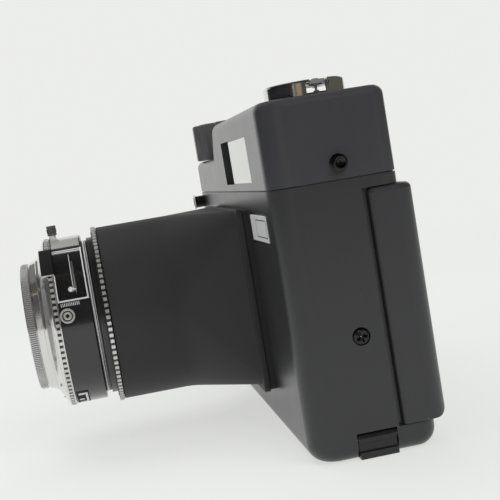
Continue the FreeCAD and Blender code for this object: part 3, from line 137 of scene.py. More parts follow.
def lay_on(material, place, colour, roughness, relief=None, depth=0.0, **fixed):
    """Feeds the surface: colour and roughness may be signals, the rest is fixed."""
    shader = material.node_tree.nodes["Principled BSDF"]
    feeds = {"Base Color": colour, "Roughness": roughness}
    if relief is not None:
        bump = {"Height": relief, "Distance": depth * MM, "Strength": 1.0}
        feeds["Normal"] = place.node("ShaderNodeBump", {}, bump)
    for name, value in feeds.items():
        if isinstance(value, Signal):
            material.node_tree.links.new(value.socket, shader.inputs[name])
        else:
            shader.inputs[name].default_value = value
    for name, value in fixed.items():
        shader.inputs[name.replace("_", " ")].default_value = value
    return material


def grey(shade, tint=WHITE):
    return tuple(shade * part for part in tint) + (1.0,)


def enamel(name, shade, tint, sheen, grain, **fixed):
    """Sprayed enamel: fine orange peel, clouded sheen, sparse pale dust."""
    material, place = new_finish(name)
    peel = place.noise(PEEL_SIZE, 2.0)
    cloud = place.noise(CLOUD_SIZE)
    dust = place.specks(DUST_CELL, DUST_SHARE) * place.noise(DUST_PATCH).over(0.5, 0.6)
    paint = cloud.mix(grey(shade * 0.92, tint), grey(shade * 1.08, tint))
    colour = dust.mix(paint, grey(DUST_SHADE))
    roughness = cloud * 0.06 + peel * 0.08 + (sheen - 0.07)
    relief = peel + place.noise(LUMP_SIZE, 1.0) * 0.5
    return lay_on(material, place, colour, roughness, relief, grain, **fixed)


def new_piece(name, data):
    obj = bpy.data.objects.new(name, data)
    bpy.context.scene.collection.objects.link(obj)
    return obj


def final_mesh(obj):
    """What an object looks like once its modifiers have run, as a mesh."""
    bpy.context.view_layer.update()
    graph = bpy.context.evaluated_depsgraph_get()
    return bpy.data.meshes.new_from_object(obj.evaluated_get(graph))


def made_plain(obj):
    """Applies the modifiers of a piece."""
    mesh = final_mesh(obj)
    obj.modifiers.clear()
    obj.data = mesh
    return obj


def level_shading(obj):
    """Shading that follows the large faces, so that flats and mirrors stay straight."""
    weighted = obj.modifiers.new("flat faces", "WEIGHTED_NORMAL")
    weighted.keep_sharp = True
    return obj


def fair_copy(node, edge):
    """The node's shape with its triangles joined and a small round on its sharp edges."""
    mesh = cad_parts[node].data.copy()
    work = bmesh.new()
    work.from_mesh(mesh)
    bmesh.ops.remove_doubles(work, verts=work.verts, dist=WELD_GAP * MM)
    bmesh.ops.dissolve_limit(work, angle_limit=math.radians(FLAT_ANGLE),
                             verts=work.verts, edges=work.edges)
    work.to_mesh(mesh)
    work.free()
    for polygon in mesh.polygons:
        polygon.use_smooth = True
    if "custom_normal" in mesh.attributes:
        mesh.attributes.remove(mesh.attributes["custom_normal"])
    obj = new_piece(node + "_finished", mesh)
    bevel = obj.modifiers.new("eased edges", "BEVEL")
    bevel.width = edge * MM
    bevel.segments = 2
    bevel.limit_method = "ANGLE"
    bevel.angle_limit = math.radians(SHARP_ANGLE)
    bevel.use_clamp_overlap = True
    return made_plain(level_shading(obj))


def mount(piece, body, node=None, finish=None):
    """Gives a piece its finish, fixes it to its body and hides the node that it stands for."""
    if finish is not None:
        piece.data.materials.append(finish)
    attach(piece, body)
    if node is not None:
        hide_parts(node)
    return piece


def finished(node, edge, finish, body):
    """Puts an eased copy in a better finish in the place of a node."""
    piece = fair_copy(node, edge)
    piece.data.name = piece.name
    piece.data.materials.clear()
    mount(piece, body, node, finish)


def dress(finish, *nodes):
    """Gives CAD nodes that keep their own shape a better finish."""
    for node in nodes:
        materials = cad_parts[node].data.materials
        materials.clear()
        materials.append(finish)


case_enamel = enamel("case_enamel", 0.03, CASE_TINT, 0.3, 0.005)
finished("main_case", 0.3, case_enamel, "body")


# Chassis.
# The inner casting with the dark chamber and the film rails, blackened flat
# against stray light. The spool pivots and film rollers are turned steel.

WARM = (1.0, 0.99, 0.97)
EVEN = (1.0, 1.0, 1.0)
SCRATCH_DEPTH = 0.004


def flat_black(name, shade, roughness):
    material, place = new_finish(name)
    peel = place.noise(0.35)
    colour = peel.mix(grey(shade * 0.8), grey(shade * 1.2))
    return lay_on(material, place, colour, peel * 0.1 + (roughness - 0.05), peel, 0.02)


def bare_metal(name, shade, roughness, tint=WHITE, size=0.3, stretch=EVEN, metallic=1.0):
    """Bare metal with fine tool marks, which a stretched place makes run one way."""
    material, place = new_finish(name)
    marks = place.stretched(stretch).noise(size, 4.0)
    colour = marks.mix(grey(shade * 0.9, tint), grey(shade, tint))
    level = marks * 0.12 + (roughness - 0.06)
    return lay_on(material, place, colour, level, marks, SCRATCH_DEPTH, Metallic=metallic)


chassis_black = flat_black("chassis_black", 0.012, 0.85)
steel = bare_metal("turned_steel", 0.56, 0.3, WARM, stretch=(1.0, 1.0, 8.0))

dress(chassis_black, "film_gate")
dress(steel, "spool_pivots", "guide_roller_supply", "guide_roller_take_up", "wind_shaft",
      "crank_shaft", "flange_screws", "button_bracket", "release_pin")


# Take-up spool.
# A moulded black film spool with thin flanges. It stays in the camera and is
# turned by the key of the wind shaft.

def moulding(name, shade, roughness):
    """Moulded black plastic with a faint sparkled texture."""
    material, place = new_finish(name)
    grain = place.noise(0.3, 2.0)
    colour = place.noise(9.0).mix(grey(shade * 0.85), grey(shade * 1.15))
    return lay_on(material, place, colour, grain * 0.12 + (roughness - 0.06), grain, 0.008)


dress(moulding("spool_plastic", 0.018, 0.42), "take_up_spool")


# Pressure plate.
# A flat plate, blackened on its film side, that two bowed leaf springs on the
# door press against the film. Foam strips on the door keep light out.

plate_black = bare_metal("blackened_plate", 0.1, 0.38, (1.0, 1.0, 1.02), 0.4, (1.0, 1.0, 6.0))
spring_steel = bare_metal("spring_steel", 0.5, 0.32, (1.0, 0.97, 0.92), 0.25, (1.0, 6.0, 1.0))
dress(plate_black, "pressure_plate")
dress(spring_steel, "pressure_springs", "button_spring")


def foam(name):
    material, place = new_finish(name)
    cells = place.cells(0.45)
    return lay_on(material, place, cells.mix(grey(0.006), grey(0.02)), 0.95, cells, 0.15)


dress(foam("seal_foam"), "door_seal")


# Back door.
# The cast door wraps round both ends of the case, with rounded upright edges,
# and is sprayed like the case. It hangs on a steel pin hinge at the far end.

COLD = (1.0, 1.0, 1.04)

door_enamel = enamel("door_enamel", 0.034, CASE_TINT, 0.34, 0.006)
finished("back_door", 0.3, door_enamel, "door")

blackened_steel = bare_metal("blackened_steel", 0.06, 0.35, COLD, stretch=(1.0, 1.0, 5.0))
finished("hinge_leaf", 0.15, blackened_steel, "body")
dress(steel, "hinge_pin")


# Door release.
# A moulded finger flap in a pocket at the foot of the near end, on a steel
# pivot. It is a little glossier than the painted case round it.

finished("door_release", 0.25, moulding("flap_black", 0.011, 0.3), "release_flap")


# Top housing.
# The pressed and cast top cover with its step down to the wind knob, sprayed
# with the same enamel, given a lighter shade than on the case: painted light that
# makes the top housing look brighter. It sits on the case with a thin shadow line between.

# Painted light: the same enamel as the case, in a lighter shade, so the top housing looks
# brighter.
cover_enamel = enamel("cover_enamel", 0.046, CASE_TINT, 0.25, 0.004)
finished("top_cover", 0.25, cover_enamel, "body")


# Finder.
# A moulded black tunnel between a plain front pane and a round eyepiece, with
# a dished front lens. The pane is bright, because it mirrors the pale room.

PANE_TINT = (0.97, 0.99, 0.98)


def clear_glass(name, tint, bend, coat_tint=WHITE, coat=0.0):
    """Polished glass with a trace of dust on its surface."""
    material, place = new_finish(name)
    dust = place.specks(2.5, 0.05)
    fixed = {"Transmission_Weight": 1.0, "IOR": bend, "Coat_Weight": coat,
             "Coat_Tint": coat_tint + (1.0,)}
    return lay_on(material, place, dust.mix(tint + (1.0,), grey(0.7)), dust * 0.25 + 0.01, **fixed)


dress(moulding("tunnel_plastic", 0.012, 0.6), "finder_tunnel")
dress(clear_glass("window_pane", PANE_TINT, 2.2, coat=1.0), "finder_window")
dress(clear_glass("finder_glass", PANE_TINT, 1.75), "finder_objective", "finder_eyepiece")
eyepiece_plastic = moulding("eyepiece_plastic", 0.014, 0.4)
finished("eyepiece_frame", 0.2, eyepiece_plastic, "body")


# Screws and studs.
# Turned steel fittings, chemically blackened: a cross-head screw low on each
# end, and a strap stud with a flange and a dished head high on each end.

HALF_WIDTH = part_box("main_case")[1].x / MM
ENDS = ((1, "near"), (-1, "far"))
SCREW_SPOT = (1.15, 37.3)
SCREW_OUTLINE = [(0, -1.2), (2.62, -1.2), (2.62, -0.28), (2.2, 0.0), (0, 0.12)]
SCREW_LEAN = 20
PIP_OUTLINE = [(0, -0.7), (0.34, -0.7), (0.2, -0.5), (0, -0.46)]
STUD_SPOT = (2.55, 89.65)
STUD_OUTLINE = [(0, -2.0), (1.5, -2.0), (1.5, 0), (2.75, 0), (2.75, 0.4), (2.55, 0.6), (1.5, 0.6),
                (1.5, 2.0), (2.2, 2.0), (2.3, 2.12), (2.3, 2.85), (2.1, 3.0), (1.5, 3.0),
                (1.05, 2.45), (0, 2.35)]
STUD_DISH = 2.4
CROSS_TAPER = 0.62
MERGE_GAP = 0.0005
TINY = 1e-6
STRAIGHT = 2.9
CORNER_SHARE = 0.45


def at(x, y, z):
    """A place that many millimetres from the origin of the camera."""
    return Matrix.Translation(Vector((x, y, z)) * MM)


def swung(degrees, axis):
    """A turn about one of the three axes."""
    return Matrix.Rotation(math.radians(degrees), 4, axis)


def piece_of(work, name, place=None, sharp=SHARP_ANGLE):
    """A finished bmesh as a smooth piece in its place, with its sharp edges kept."""
    if place is not None:
        bmesh.ops.transform(work, matrix=place, verts=work.verts)
    bmesh.ops.remove_doubles(work, verts=work.verts, dist=MERGE_GAP * MM)
    bmesh.ops.recalc_face_normals(work, faces=work.faces)
    mesh = bpy.data.meshes.new(name)
    work.to_mesh(mesh)
    work.free()
    for polygon in mesh.polygons:
        polygon.use_smooth = True
    mesh.set_sharp_from_angle(angle=math.radians(sharp))
    return new_piece(name, mesh)


def skin(work, rows, closed=True):
    """Faces between neighbouring rows of points. Each row is a closed loop."""
    for here, after in zip(rows, rows[1:] + rows[:1] if closed else rows[1:]):
        for index in range(len(here)):
            follow = (index + 1) % len(here)
            gap = here[index].co - after[index].co
            next_gap = here[follow].co - after[follow].co
            if gap.length + next_gap.length > 0:
                work.faces.new((here[index], after[index], after[follow], here[follow]))


def spun(work, profile, turn):
    """The points of a profile of (radius, height), swung round local Z."""
    return [work.verts.new((across * math.cos(turn) * MM, across * math.sin(turn) * MM,
                            height * MM)) for across, height in profile]


def eased_outline(outline, radius):
    """Rounds each corner of a closed outline with three points."""
    points = [Vector(corner) for corner in outline]
    rounded = []
    for index, corner in enumerate(points):
        before = points[index - 1] - corner
        after = points[(index + 1) % len(points)] - corner
        shorter = min(before.length, after.length)
        if corner.x < TINY or shorter < TINY or before.angle(after) > STRAIGHT:
            rounded.append(corner)
            continue
        cut = min(radius, shorter * CORNER_SHARE)
        first = corner + before.normalized() * cut
        last = corner + after.normalized() * cut
        rounded += [first, corner * 0.42 + (first + last) * 0.29, last]
    return rounded


def turned(name, outline, place, ease_by, steps):
    """A turned piece: a closed outline of (radius, height) spun about local Z."""
    profile = eased_outline(outline, ease_by)
    work = bmesh.new()
    skin(work, [spun(work, profile, 2 * math.pi * step / steps) for step in range(steps)])
    return made_plain(level_shading(piece_of(work, name, place)))


def cut_away(obj, cutters):
    """Cuts each closed cutter out of the piece and removes the cutters."""
    for cutter in cutters:
        tool = obj.modifiers.new("cut", "BOOLEAN")
        tool.object = cutter
        tool.operation = "DIFFERENCE"
        tool.solver = "EXACT"
    made_plain(obj)
    for cutter in cutters:
        bpy.data.objects.remove(cutter)


def bar(size, place, taper=1.0):
    """A cutter of that size about the origin of its place; taper narrows its foot."""
    work = bmesh.new()
    bmesh.ops.create_cube(work, size=MM)
    for vert in work.verts:
        narrow = taper if vert.co.z < 0 else 1.0
        vert.co = Vector((vert.co.x * size[0] * narrow, vert.co.y * size[1] * narrow,
                          vert.co.z * size[2]))
    return piece_of(work, "cutter", place)


def cross_cut(obj, place, reach, width, depth, lean):
    """A cross recess whose four arms taper towards the foot."""
    cut_away(obj, [bar((2 * reach, width, 2 * depth), place @ swung(quarter + lean, "Z"),
                       CROSS_TAPER) for quarter in (0, 90)])


def end_frame(side, y, z):
    """Local Z points out of the near (1) or far (-1) end of the body."""
    return at(side * HALF_WIDTH, y, z) @ swung(90 * side, "Y")


screw_black = bare_metal("screw_black", 0.045, 0.28, size=0.2)
bright_steel = bare_metal("bright_steel", 0.62, 0.18, (1.0, 0.99, 0.98))

for side, label in ENDS:
    seat = end_frame(side, *SCREW_SPOT)
    head = turned("side_screw_" + label, SCREW_OUTLINE, seat, 0.15, 64)
    cross_cut(head, seat, 1.75, 0.7, 0.75, SCREW_LEAN)
    mount(head, "body", "side_screws" if side == 1 else None, screw_black)
    pip = turned("side_screw_pip_" + label, PIP_OUTLINE, seat, 0.05, 24)
    mount(pip, "body", finish=bright_steel)

for side, label in ENDS:
    seat = end_frame(side, *STUD_SPOT)
    stud = turned("strap_stud_" + label, STUD_OUTLINE, seat, 0.1, 64)
    cross_cut(stud, seat @ at(0, 0, STUD_DISH), 0.75, 0.45, 0.3, 0)
    mount(stud, "body", "strap_studs" if side == 1 else None, screw_black)


# Tripod bush.
# A turned steel bush pressed into the base, with a flange that holds it in and
# a thread inside, open below for the screw of a stand.

THREAD_RADIUS = 3.175
THREAD_DEPTH = 0.28
THREAD_TOP = 7.0
THREAD_STEP = 0.32
BUSH_THREAD = [(THREAD_RADIUS - THREAD_DEPTH * (step % 2), THREAD_TOP - THREAD_STEP * step)
               for step in range(20)]
BUSH_OUTLINE = ([(6.5, 0.0), (6.5, 3.0), (9.0, 3.0), (9.0, 5.0), (6.5, 5.0), (6.5, 9.2), (0, 9.2),
                 (0, THREAD_TOP)] + BUSH_THREAD + [(3.3, 0.5), (3.7, 0.0)])

bush = turned("tripod_bush_turned", BUSH_OUTLINE, Matrix.Identity(4), 0.05, 64)
mount(bush, "body", "tripod_bush", bare_metal("bush_steel", 0.6, 0.3, WARM))


# Nameplate.
# A bare satin silver plate let into the front beside the lens flange, with a
# thin engraved line, filled black, round the field that carries no words.

PLATE_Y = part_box("nameplate")[0].y / MM
FIELD_LOW = (62.0, 69.75)
FIELD_HIGH = (81.6, 75.5)
LINE_WIDTH = 0.3
LINE_RISE = 0.02


def line_frame(name, low, high):
    """Four thin bars round a field in the front plane."""
    work = bmesh.new()
    rims = [(low[0], low[1], high[0], low[1] + LINE_WIDTH),
            (low[0], high[1] - LINE_WIDTH, high[0], high[1]),
            (low[0], low[1], low[0] + LINE_WIDTH, high[1]),
            (high[0] - LINE_WIDTH, low[1], high[0], high[1])]
    for x0, z0, x1, z1 in rims:
        for vert in bmesh.ops.create_cube(work, size=1.0)["verts"]:
            vert.co = Vector((x0 + (x1 - x0) * (vert.co.x + 0.5), PLATE_Y + LINE_RISE * vert.co.y,
                              z0 + (z1 - z0) * (vert.co.z + 0.5))) * MM
    return piece_of(work, name)


plate_silver = bare_metal("plate_silver", 0.84, 0.4, (1.0, 1.0, 0.99), 0.35, (0.05, 1.0, 1.0), 0.2)
ink_black = moulding("ink_black", 0.012, 0.5)
finished("nameplate", 0.12, plate_silver, "body")
mount(line_frame("nameplate_line", FIELD_LOW, FIELD_HIGH), "body", finish=ink_black)


# Wind button.
# A short black plunger with a rounded edge beside the wind knob on the front.
# Its face is a pale pink disc.

FACE_RADIUS = 3.3
FACE_DEPTH = 0.3
BUTTON_LOW, BUTTON_HIGH = (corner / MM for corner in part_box("wind_button"))

finished("wind_button", 0.1, moulding("button_black", 0.014, 0.3), "button")
button_middle = (BUTTON_LOW + BUTTON_HIGH) / 2
face = turned("wind_button_face",
              [(0, -FACE_DEPTH), (FACE_RADIUS, -FACE_DEPTH), (FACE_RADIUS, 0.0), (0, 0.0)],
              at(button_middle.x, BUTTON_LOW.y, button_middle.z) @ swung(90, "X"), 0.1, 48)
button_pink = bare_metal("button_pink", 0.75, 0.4, (1.0, 0.86, 0.86), metallic=0.0)
mount(face, "button", finish=button_pink)


# Wind knob.
# A large black anodised knob with twelve finger flutes, turned and milled from
# aluminium. A round cap with a coin slot covers its screw.

SPOOL_X = 76.25
SPOOL_Y = 0.5
KNOB_LOW, KNOB_HIGH = (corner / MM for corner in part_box("wind_knob"))
KNOB_RISE = KNOB_HIGH.z - KNOB_LOW.z
KNOB_RADIUS = 20.6
KNOB_STEPS = 240
FLUTES = 12
FLUTE_RADIUS = 3.1
FLUTE_DEPTH = 2.3
FLUTE_EASE = 0.35
RIM_LEVELS = [(-9.5, 0.0), (-0.35, 0.0), (0.0, 0.35), (0.0, KNOB_RISE - 0.9),
              (-0.12, KNOB_RISE - 0.45), (-0.4, KNOB_RISE - 0.15), (-0.85, KNOB_RISE)]
CAP_WELL = [(9.5, KNOB_RISE), (9.1, KNOB_RISE - 0.3), (9.1, KNOB_RISE - 1.2),
            (3.0, KNOB_RISE - 1.2), (3.0, 0.0)]
CAP_OUTLINE = [(0, -1.2), (9.0, -1.2), (9.0, -0.15), (8.8, 0.0), (7.6, 0.0), (7.4, -0.2),
               (7.2, 0.0), (0, 0.0)]
COIN_SLOT = (9.0, 1.4, 1.2)


def anodised(name, shade, roughness):
    """Black anodised aluminium with faint turning marks."""
    material, place = new_finish(name)
    marks = place.stretched((1.0, 1.0, 12.0)).noise(0.5, 3.0)
    colour = marks.mix(grey(shade * 0.8), grey(shade * 1.2, (1.0, 1.0, 1.03)))
    return lay_on(material, place, colour, marks * 0.14 + (roughness - 0.07), marks, SCRATCH_DEPTH,
                  Specular_IOR_Level=0.8)


def fluted_radius(turn):
    """Distance of the fluted outline from the axis, with soft crests."""
    pitch = 2 * math.pi / FLUTES
    lean = (turn % pitch) - pitch / 2
    centre = KNOB_RADIUS + FLUTE_RADIUS - FLUTE_DEPTH
    across = centre * math.sin(lean)
    if abs(across) >= FLUTE_RADIUS:
        return KNOB_RADIUS
    flute = centre * math.cos(lean) - math.sqrt(FLUTE_RADIUS ** 2 - across ** 2)
    share = max(FLUTE_EASE - abs(flute - KNOB_RADIUS), 0.0) / FLUTE_EASE
    return min(flute, KNOB_RADIUS) - share * share * FLUTE_EASE / 4


def fluted_knob(name, place):
    """The fluted rim round a well for the cap and a bore for the shaft."""
    work = bmesh.new()
    rows = []
    for step in range(KNOB_STEPS):
        turn = 2 * math.pi * step / KNOB_STEPS
        rim = [(fluted_radius(turn) + inset, height) for inset, height in RIM_LEVELS]
        rows.append(spun(work, rim + CAP_WELL, turn))
    skin(work, rows)
    return piece_of(work, name, place)


knob_black = anodised("knob_anodised", 0.085, 0.3)
knob = fluted_knob("wind_knob_fluted", at(-SPOOL_X, SPOOL_Y, KNOB_LOW.z))
mount(knob, "winder", "wind_knob", knob_black)

cap_place = at(-SPOOL_X, SPOOL_Y, KNOB_HIGH.z)
cap = turned("wind_knob_cap_turned", CAP_OUTLINE, cap_place, 0.1, 96)
cut_away(cap, [bar(COIN_SLOT, cap_place)])
mount(cap, "winder", "wind_knob_cap", knob_black)


# Crank.
# The rewind crank: a chromed brass disc with a slot milled across it, open at
# its ends, in which a flat steel arm folds down over a small turning grip.

CRANK_BASE = 111.3
CRANK_TOP = 115.9
CRANK_OUTLINE = [(0, -0.22), (12.75, -0.22), (12.75, 3.9), (12.55, 4.3), (12.1, 4.6), (0, 4.6)]
CRANK_SLOT_Y = 2.9
ARM_SLOT = (30.0, 5.9, 3.4)
CHANNEL = (60.0, 5.9, 2.6)
CHANNEL_RISE = 1.8
CHANNEL_LEAN = -12.7
GRIP_X = 82.85
GRIP_DROP = 1.45
GRIP_OUTLINE = [(0, -2.3), (0.9, -2.3), (0.9, -2.0), (0.4, -1.8), (0.4, -0.5), (2.1, -0.35),
                (2.1, 0.0), (0.7, 0.0), (0.7, 1.4), (1.25, 1.4), (1.2, 1.6), (0.8, 1.8), (0, 1.85)]


def plated(name, shade, tint, roughness):
    """Polished plating: nearly a mirror, with faint wipe marks."""
    material, place = new_finish(name)
    wipe = place.noise(4.0, 2.0)
    colour = wipe.mix(grey(shade * 0.96, tint), grey(shade, tint))
    return lay_on(material, place, colour, wipe * 0.05 + roughness, Metallic=1.0)


crank = turned("crank_knob_turned", CRANK_OUTLINE, at(SPOOL_X, SPOOL_Y, CRANK_BASE), 0.08, 160)
channel_place = at(GRIP_X, CRANK_SLOT_Y, CRANK_BASE + CHANNEL_RISE) @ swung(CHANNEL_LEAN, "Z")
cut_away(crank, [bar(ARM_SLOT, at(SPOOL_X, CRANK_SLOT_Y, CRANK_TOP)), bar(CHANNEL, channel_place)])
made_plain(level_shading(crank))
mount(crank, "crank", "crank_knob", plated("chrome", 0.84, WARM, 0.14))

arm_steel = bare_metal("arm_steel", 0.5, 0.25, stretch=(0.1, 1.0, 1.0), metallic=0.6)
finished("crank_arm", 0.12, arm_steel, "crank_lever")
grip = turned("crank_grip_turned", GRIP_OUTLINE, at(GRIP_X, CRANK_SLOT_Y, CRANK_TOP - GRIP_DROP),
              0.1, 64)
mount(grip, "crank_tip", "crank_grip", arm_steel)


# Lens tube.
# The cast tube that holds the shutter: a wide flange, a flare that narrows to
# a round barrel, and the same enamel in a flatter, darker coat.

FRONT_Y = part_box("main_case")[0].y / MM
LENS_Z = 47.0
ARC_STEPS = 22
SIDE_STEPS = 6
TUBE_RADIUS = 32.6
TUBE_WALL = 3.1
FLARE_FROM = 4.2
FLARE_TO = 25.5
FLARE_BLEND = 3.0
FLARE_WALL = 2.4
FLARE_HALF = 45.0
FLARE_TALL = 30.7
FLARE_RISE = 1.0
FLARE_REACHES = ([FLARE_FROM + 2.0 * step for step in range(9)]
                 + [22.5, 23.7, 25.0, 26.2, 27.4, 28.5])
FLANGE_ROWS = ((46.4, 31.4, 2.1, 0.0), (46.4, 31.4, 2.1, 2.1), (46.8, 31.8, 2.3, 2.1),
               (47.0, 32.0, 2.5, 2.3), (47.0, 32.0, 2.5, 3.75), (46.87, 31.87, 2.4, 4.07),
               (46.55, 31.55, 2.2, 4.2))
BORE_RADIUS = TUBE_RADIUS - TUBE_WALL
FRONT_ROWS = ((TUBE_RADIUS, 40.0), (TUBE_RADIUS, 51.1), (TUBE_RADIUS - 0.12, 51.38),
              (TUBE_RADIUS - 0.4, 51.5), (31.2, 51.5), (31.2, 53.45), (31.05, 53.6),
              (BORE_RADIUS, 53.6))


def round_row(radius):
    """A circle as four long arcs, for the corners, and four short ones between."""
    angles = []
    for quarter in range(4):
        angles += [90 * quarter + 4 + 82 * step / ARC_STEPS for step in range(ARC_STEPS)]
        angles += [90 * quarter + 86 + 8 * step / SIDE_STEPS for step in range(SIDE_STEPS)]
    turns = [math.radians(angle) for angle in angles]
    return [Vector((radius * math.cos(turn), radius * math.sin(turn))) for turn in turns]


def cornered_row(half, tall, corner, rise=0.0):
    """A rectangle with round corners, point for point beside a round row."""
    arcs = []
    for quarter, (side, level) in enumerate(((1, 1), (-1, 1), (-1, -1), (1, -1))):
        centre = Vector((side * (half - corner), level * (tall - corner) + rise))
        turns = [math.radians(90 * quarter + 90 * step / ARC_STEPS)
                 for step in range(ARC_STEPS + 1)]
        arcs.append([centre + Vector((math.cos(turn), math.sin(turn))) * corner for turn in turns])
    points = []
    for index, arc in enumerate(arcs):
        follow = arcs[(index + 1) % 4][0]
        points += arc[:-1]
        points += [arc[-1].lerp(follow, step / SIDE_STEPS) for step in range(SIDE_STEPS)]
    return points


def flared_rows(radius, corners, reaches):
    """Rows of the flare, with a soft bend where it joins the round tube."""
    circle = round_row(radius)
    rows = []
    for reach in reaches:
        before = FLARE_TO - reach
        if before < FLARE_BLEND:
            before = max(before + FLARE_BLEND, 0.0) ** 2 / (4 * FLARE_BLEND)
        share = before / (FLARE_TO - FLARE_FROM)
        rows.append(([near.lerp(far, share) for near, far in zip(circle, corners)], reach))
    return rows


def lens_tube_piece():
    """One skin from the flange over the flare to the front, and back inside."""
    outer_corners = cornered_row(FLARE_HALF, FLARE_TALL, 4.0, FLARE_RISE)
    inner_corners = cornered_row(FLARE_HALF - FLARE_WALL, FLARE_TALL - FLARE_WALL, 3.0, FLARE_RISE)
    rows = [(cornered_row(*corners), reach) for *corners, reach in FLANGE_ROWS]
    rows += flared_rows(TUBE_RADIUS, outer_corners, FLARE_REACHES)
    rows += [(round_row(radius), reach) for radius, reach in FRONT_ROWS]
    rows += flared_rows(BORE_RADIUS, inner_corners, reversed(FLARE_REACHES))
    rows += [(inner_corners, 0.0)]
    work = bmesh.new()
    skin(work, [[work.verts.new((point.x * MM, (FRONT_Y - reach) * MM, (LENS_Z + point.y) * MM))
                 for point in row] for row, reach in rows])
    return piece_of(work, "lens_tube_cast", sharp=40.0)


tube_enamel = enamel("tube_enamel", 0.03, WHITE, 0.55, 0.012, Specular_IOR_Level=0.35)
mount(lens_tube_piece(), "body", "lens_tube", tube_enamel)


# Focusing ring.
# A narrow black ring that turns in front of the tube and drives the shutter
# forward, milled round its rim into small bright blocks for the fingers.

LENS_FRAME = at(0, FRONT_Y, LENS_Z) @ swung(90, "X")
FOCUS_OUTLINE = [(31.25, 51.6), (32.7, 51.6), (32.9, 51.8), (32.9, 51.95), (32.35, 52.0),
                 (32.35, 53.0), (32.9, 53.05), (32.9, 53.2), (32.7, 53.4), (31.25, 53.4)]
FOCUS_TEETH = 96
FOCUS_TOOTH = (0.85, 1.45, 1.5, 0.8)
END_SLOPE = 0.6


def ring_tree():
    """Geometry tree: copies of a shape round a circle, turned into place."""
    tree = bpy.data.node_groups.new("ring of shapes", "GeometryNodeTree")
    kinds = {"Shape": "NodeSocketObject", "Count": "NodeSocketInt", "Radius": "NodeSocketFloat",
             "Pitch": "NodeSocketFloat", "Translation": "NodeSocketVector",
             "Rotation": "NodeSocketVector", "Material": "NodeSocketMaterial"}
    for name, kind in kinds.items():
        tree.interface.new_socket(name=name, in_out="INPUT", socket_type=kind)
    tree.interface.new_socket(name="Geometry", in_out="OUTPUT", socket_type="NodeSocketGeometry")
    entry = tree.nodes.new("NodeGroupInput")
    given = {name: Signal(tree, entry.outputs[name]) for name in kinds}
    start = Signal(tree)
    shape = start.node("GeometryNodeObjectInfo", {}, {"Object": given["Shape"]}, "Geometry")
    line = start.node("GeometryNodeMeshLine", {"mode": "OFFSET"},
                      {"Count": given["Count"], "Offset": (0.0, 0.0, 0.0)})
    turn = start.node("GeometryNodeInputIndex", {}, {}) * given["Pitch"]
    across = start.math("COSINE", turn) * given["Radius"]
    up = start.math("SINE", turn) * given["Radius"]
    spot = start.node("ShaderNodeCombineXYZ", {}, {"X": across, "Y": up})
    lean = start.node("ShaderNodeCombineXYZ", {}, {"Z": turn})
    points = start.node("GeometryNodeSetPosition", {}, {"Geometry": line, "Position": spot})
    copies = start.node("GeometryNodeInstanceOnPoints", {},
                        {"Points": points, "Instance": shape, "Rotation": lean})
    real = start.node("GeometryNodeRealizeInstances", {}, {"Geometry": copies})
    moved = start.node("GeometryNodeTransform", {},
                       {"Geometry": real, "Translation": given["Translation"],
                        "Rotation": given["Rotation"]})
    done = start.node("GeometryNodeSetMaterial", {},
                      {"Geometry": moved, "Material": given["Material"]})
    leave = tree.nodes.new("NodeGroupOutput")
    tree.links.new(done.socket, leave.inputs["Geometry"])
    return tree


RING_TREE = ring_tree()


def ring_of(name, shape, count, radius, finish, place):
    """Copies of a shape round a circle as one plain mesh; the shape is used up."""
    host = new_piece(name, bpy.data.meshes.new(name))
    tool = host.modifiers.new("ring", "NODES")
    tool.node_group = RING_TREE
    values = {"Shape": shape, "Count": count, "Radius": radius * MM, "Pitch": 2 * math.pi / count,
              "Translation": place.to_translation(), "Rotation": Vector(place.to_euler()),
              "Material": finish}
    for item in RING_TREE.interface.items_tree:
        if item.in_out == "INPUT":
            tool[item.identifier] = values[item.name]
    made_plain(host)
    bpy.data.objects.remove(shape)
    return host


def tooth(rise, wide, long, top_share):
    """A block that stands out along local X and narrows towards its top."""
    work = bmesh.new()
    bmesh.ops.create_cube(work, size=MM)
    for vert in work.verts:
        narrow = top_share if vert.co.x > 0 else 1.0
        slope = 1.0 - (1.0 - top_share) * END_SLOPE if vert.co.x > 0 else 1.0
        vert.co = Vector(((vert.co.x + 0.5 * MM) * rise, vert.co.y * wide * narrow,
                          vert.co.z * long * slope))
    return piece_of(work, "tooth")


ring_silver = bare_metal("ring_silver", 0.72, 0.24, WARM, 0.4, metallic=0.7)
trim = bare_metal("bright_trim", 0.88, 0.22, metallic=0.35)
barrel_black = anodised("barrel_black", 0.015, 0.3)
focus_body = turned("focus_ring_body", FOCUS_OUTLINE, LENS_FRAME, 0.05, 256)
mount(focus_body, "focus", "focus_ring", barrel_black)
focus_teeth = ring_of("focus_ring_teeth", tooth(*FOCUS_TOOTH), FOCUS_TEETH, 32.25, ring_silver,
                      LENS_FRAME @ at(0, 0, 52.5))
mount(focus_teeth, "focus")

dress(barrel_black, "focus_barrel")
dress(bare_metal("ring_brass", 0.6, 0.3, (1.0, 0.76, 0.4)), "retaining_ring")


# Shutter rear rim.
# A turned black rim between the tube and the shutter, with fine grooves and
# two bright rings let in, which catch the light as parallel lines.

RIM_FOOT = 28.0
RIM_CREST = 28.6
RIM_OUTLINE = [(20.0, 55.6), (RIM_FOOT, 55.6), (RIM_CREST, 55.75), (RIM_CREST, 56.05),
               (28.2, 56.2), (28.2, 56.35), (RIM_CREST, 56.5), (RIM_CREST, 56.75),
               (28.15, 56.9), (28.15, 57.05), (RIM_CREST, 57.15), (RIM_CREST, 57.4),
               (28.4, 57.5), (20.0, 57.5)]
RIM_LINES = (("rear", 56.15, 0.3), ("front", 56.7, 0.65))

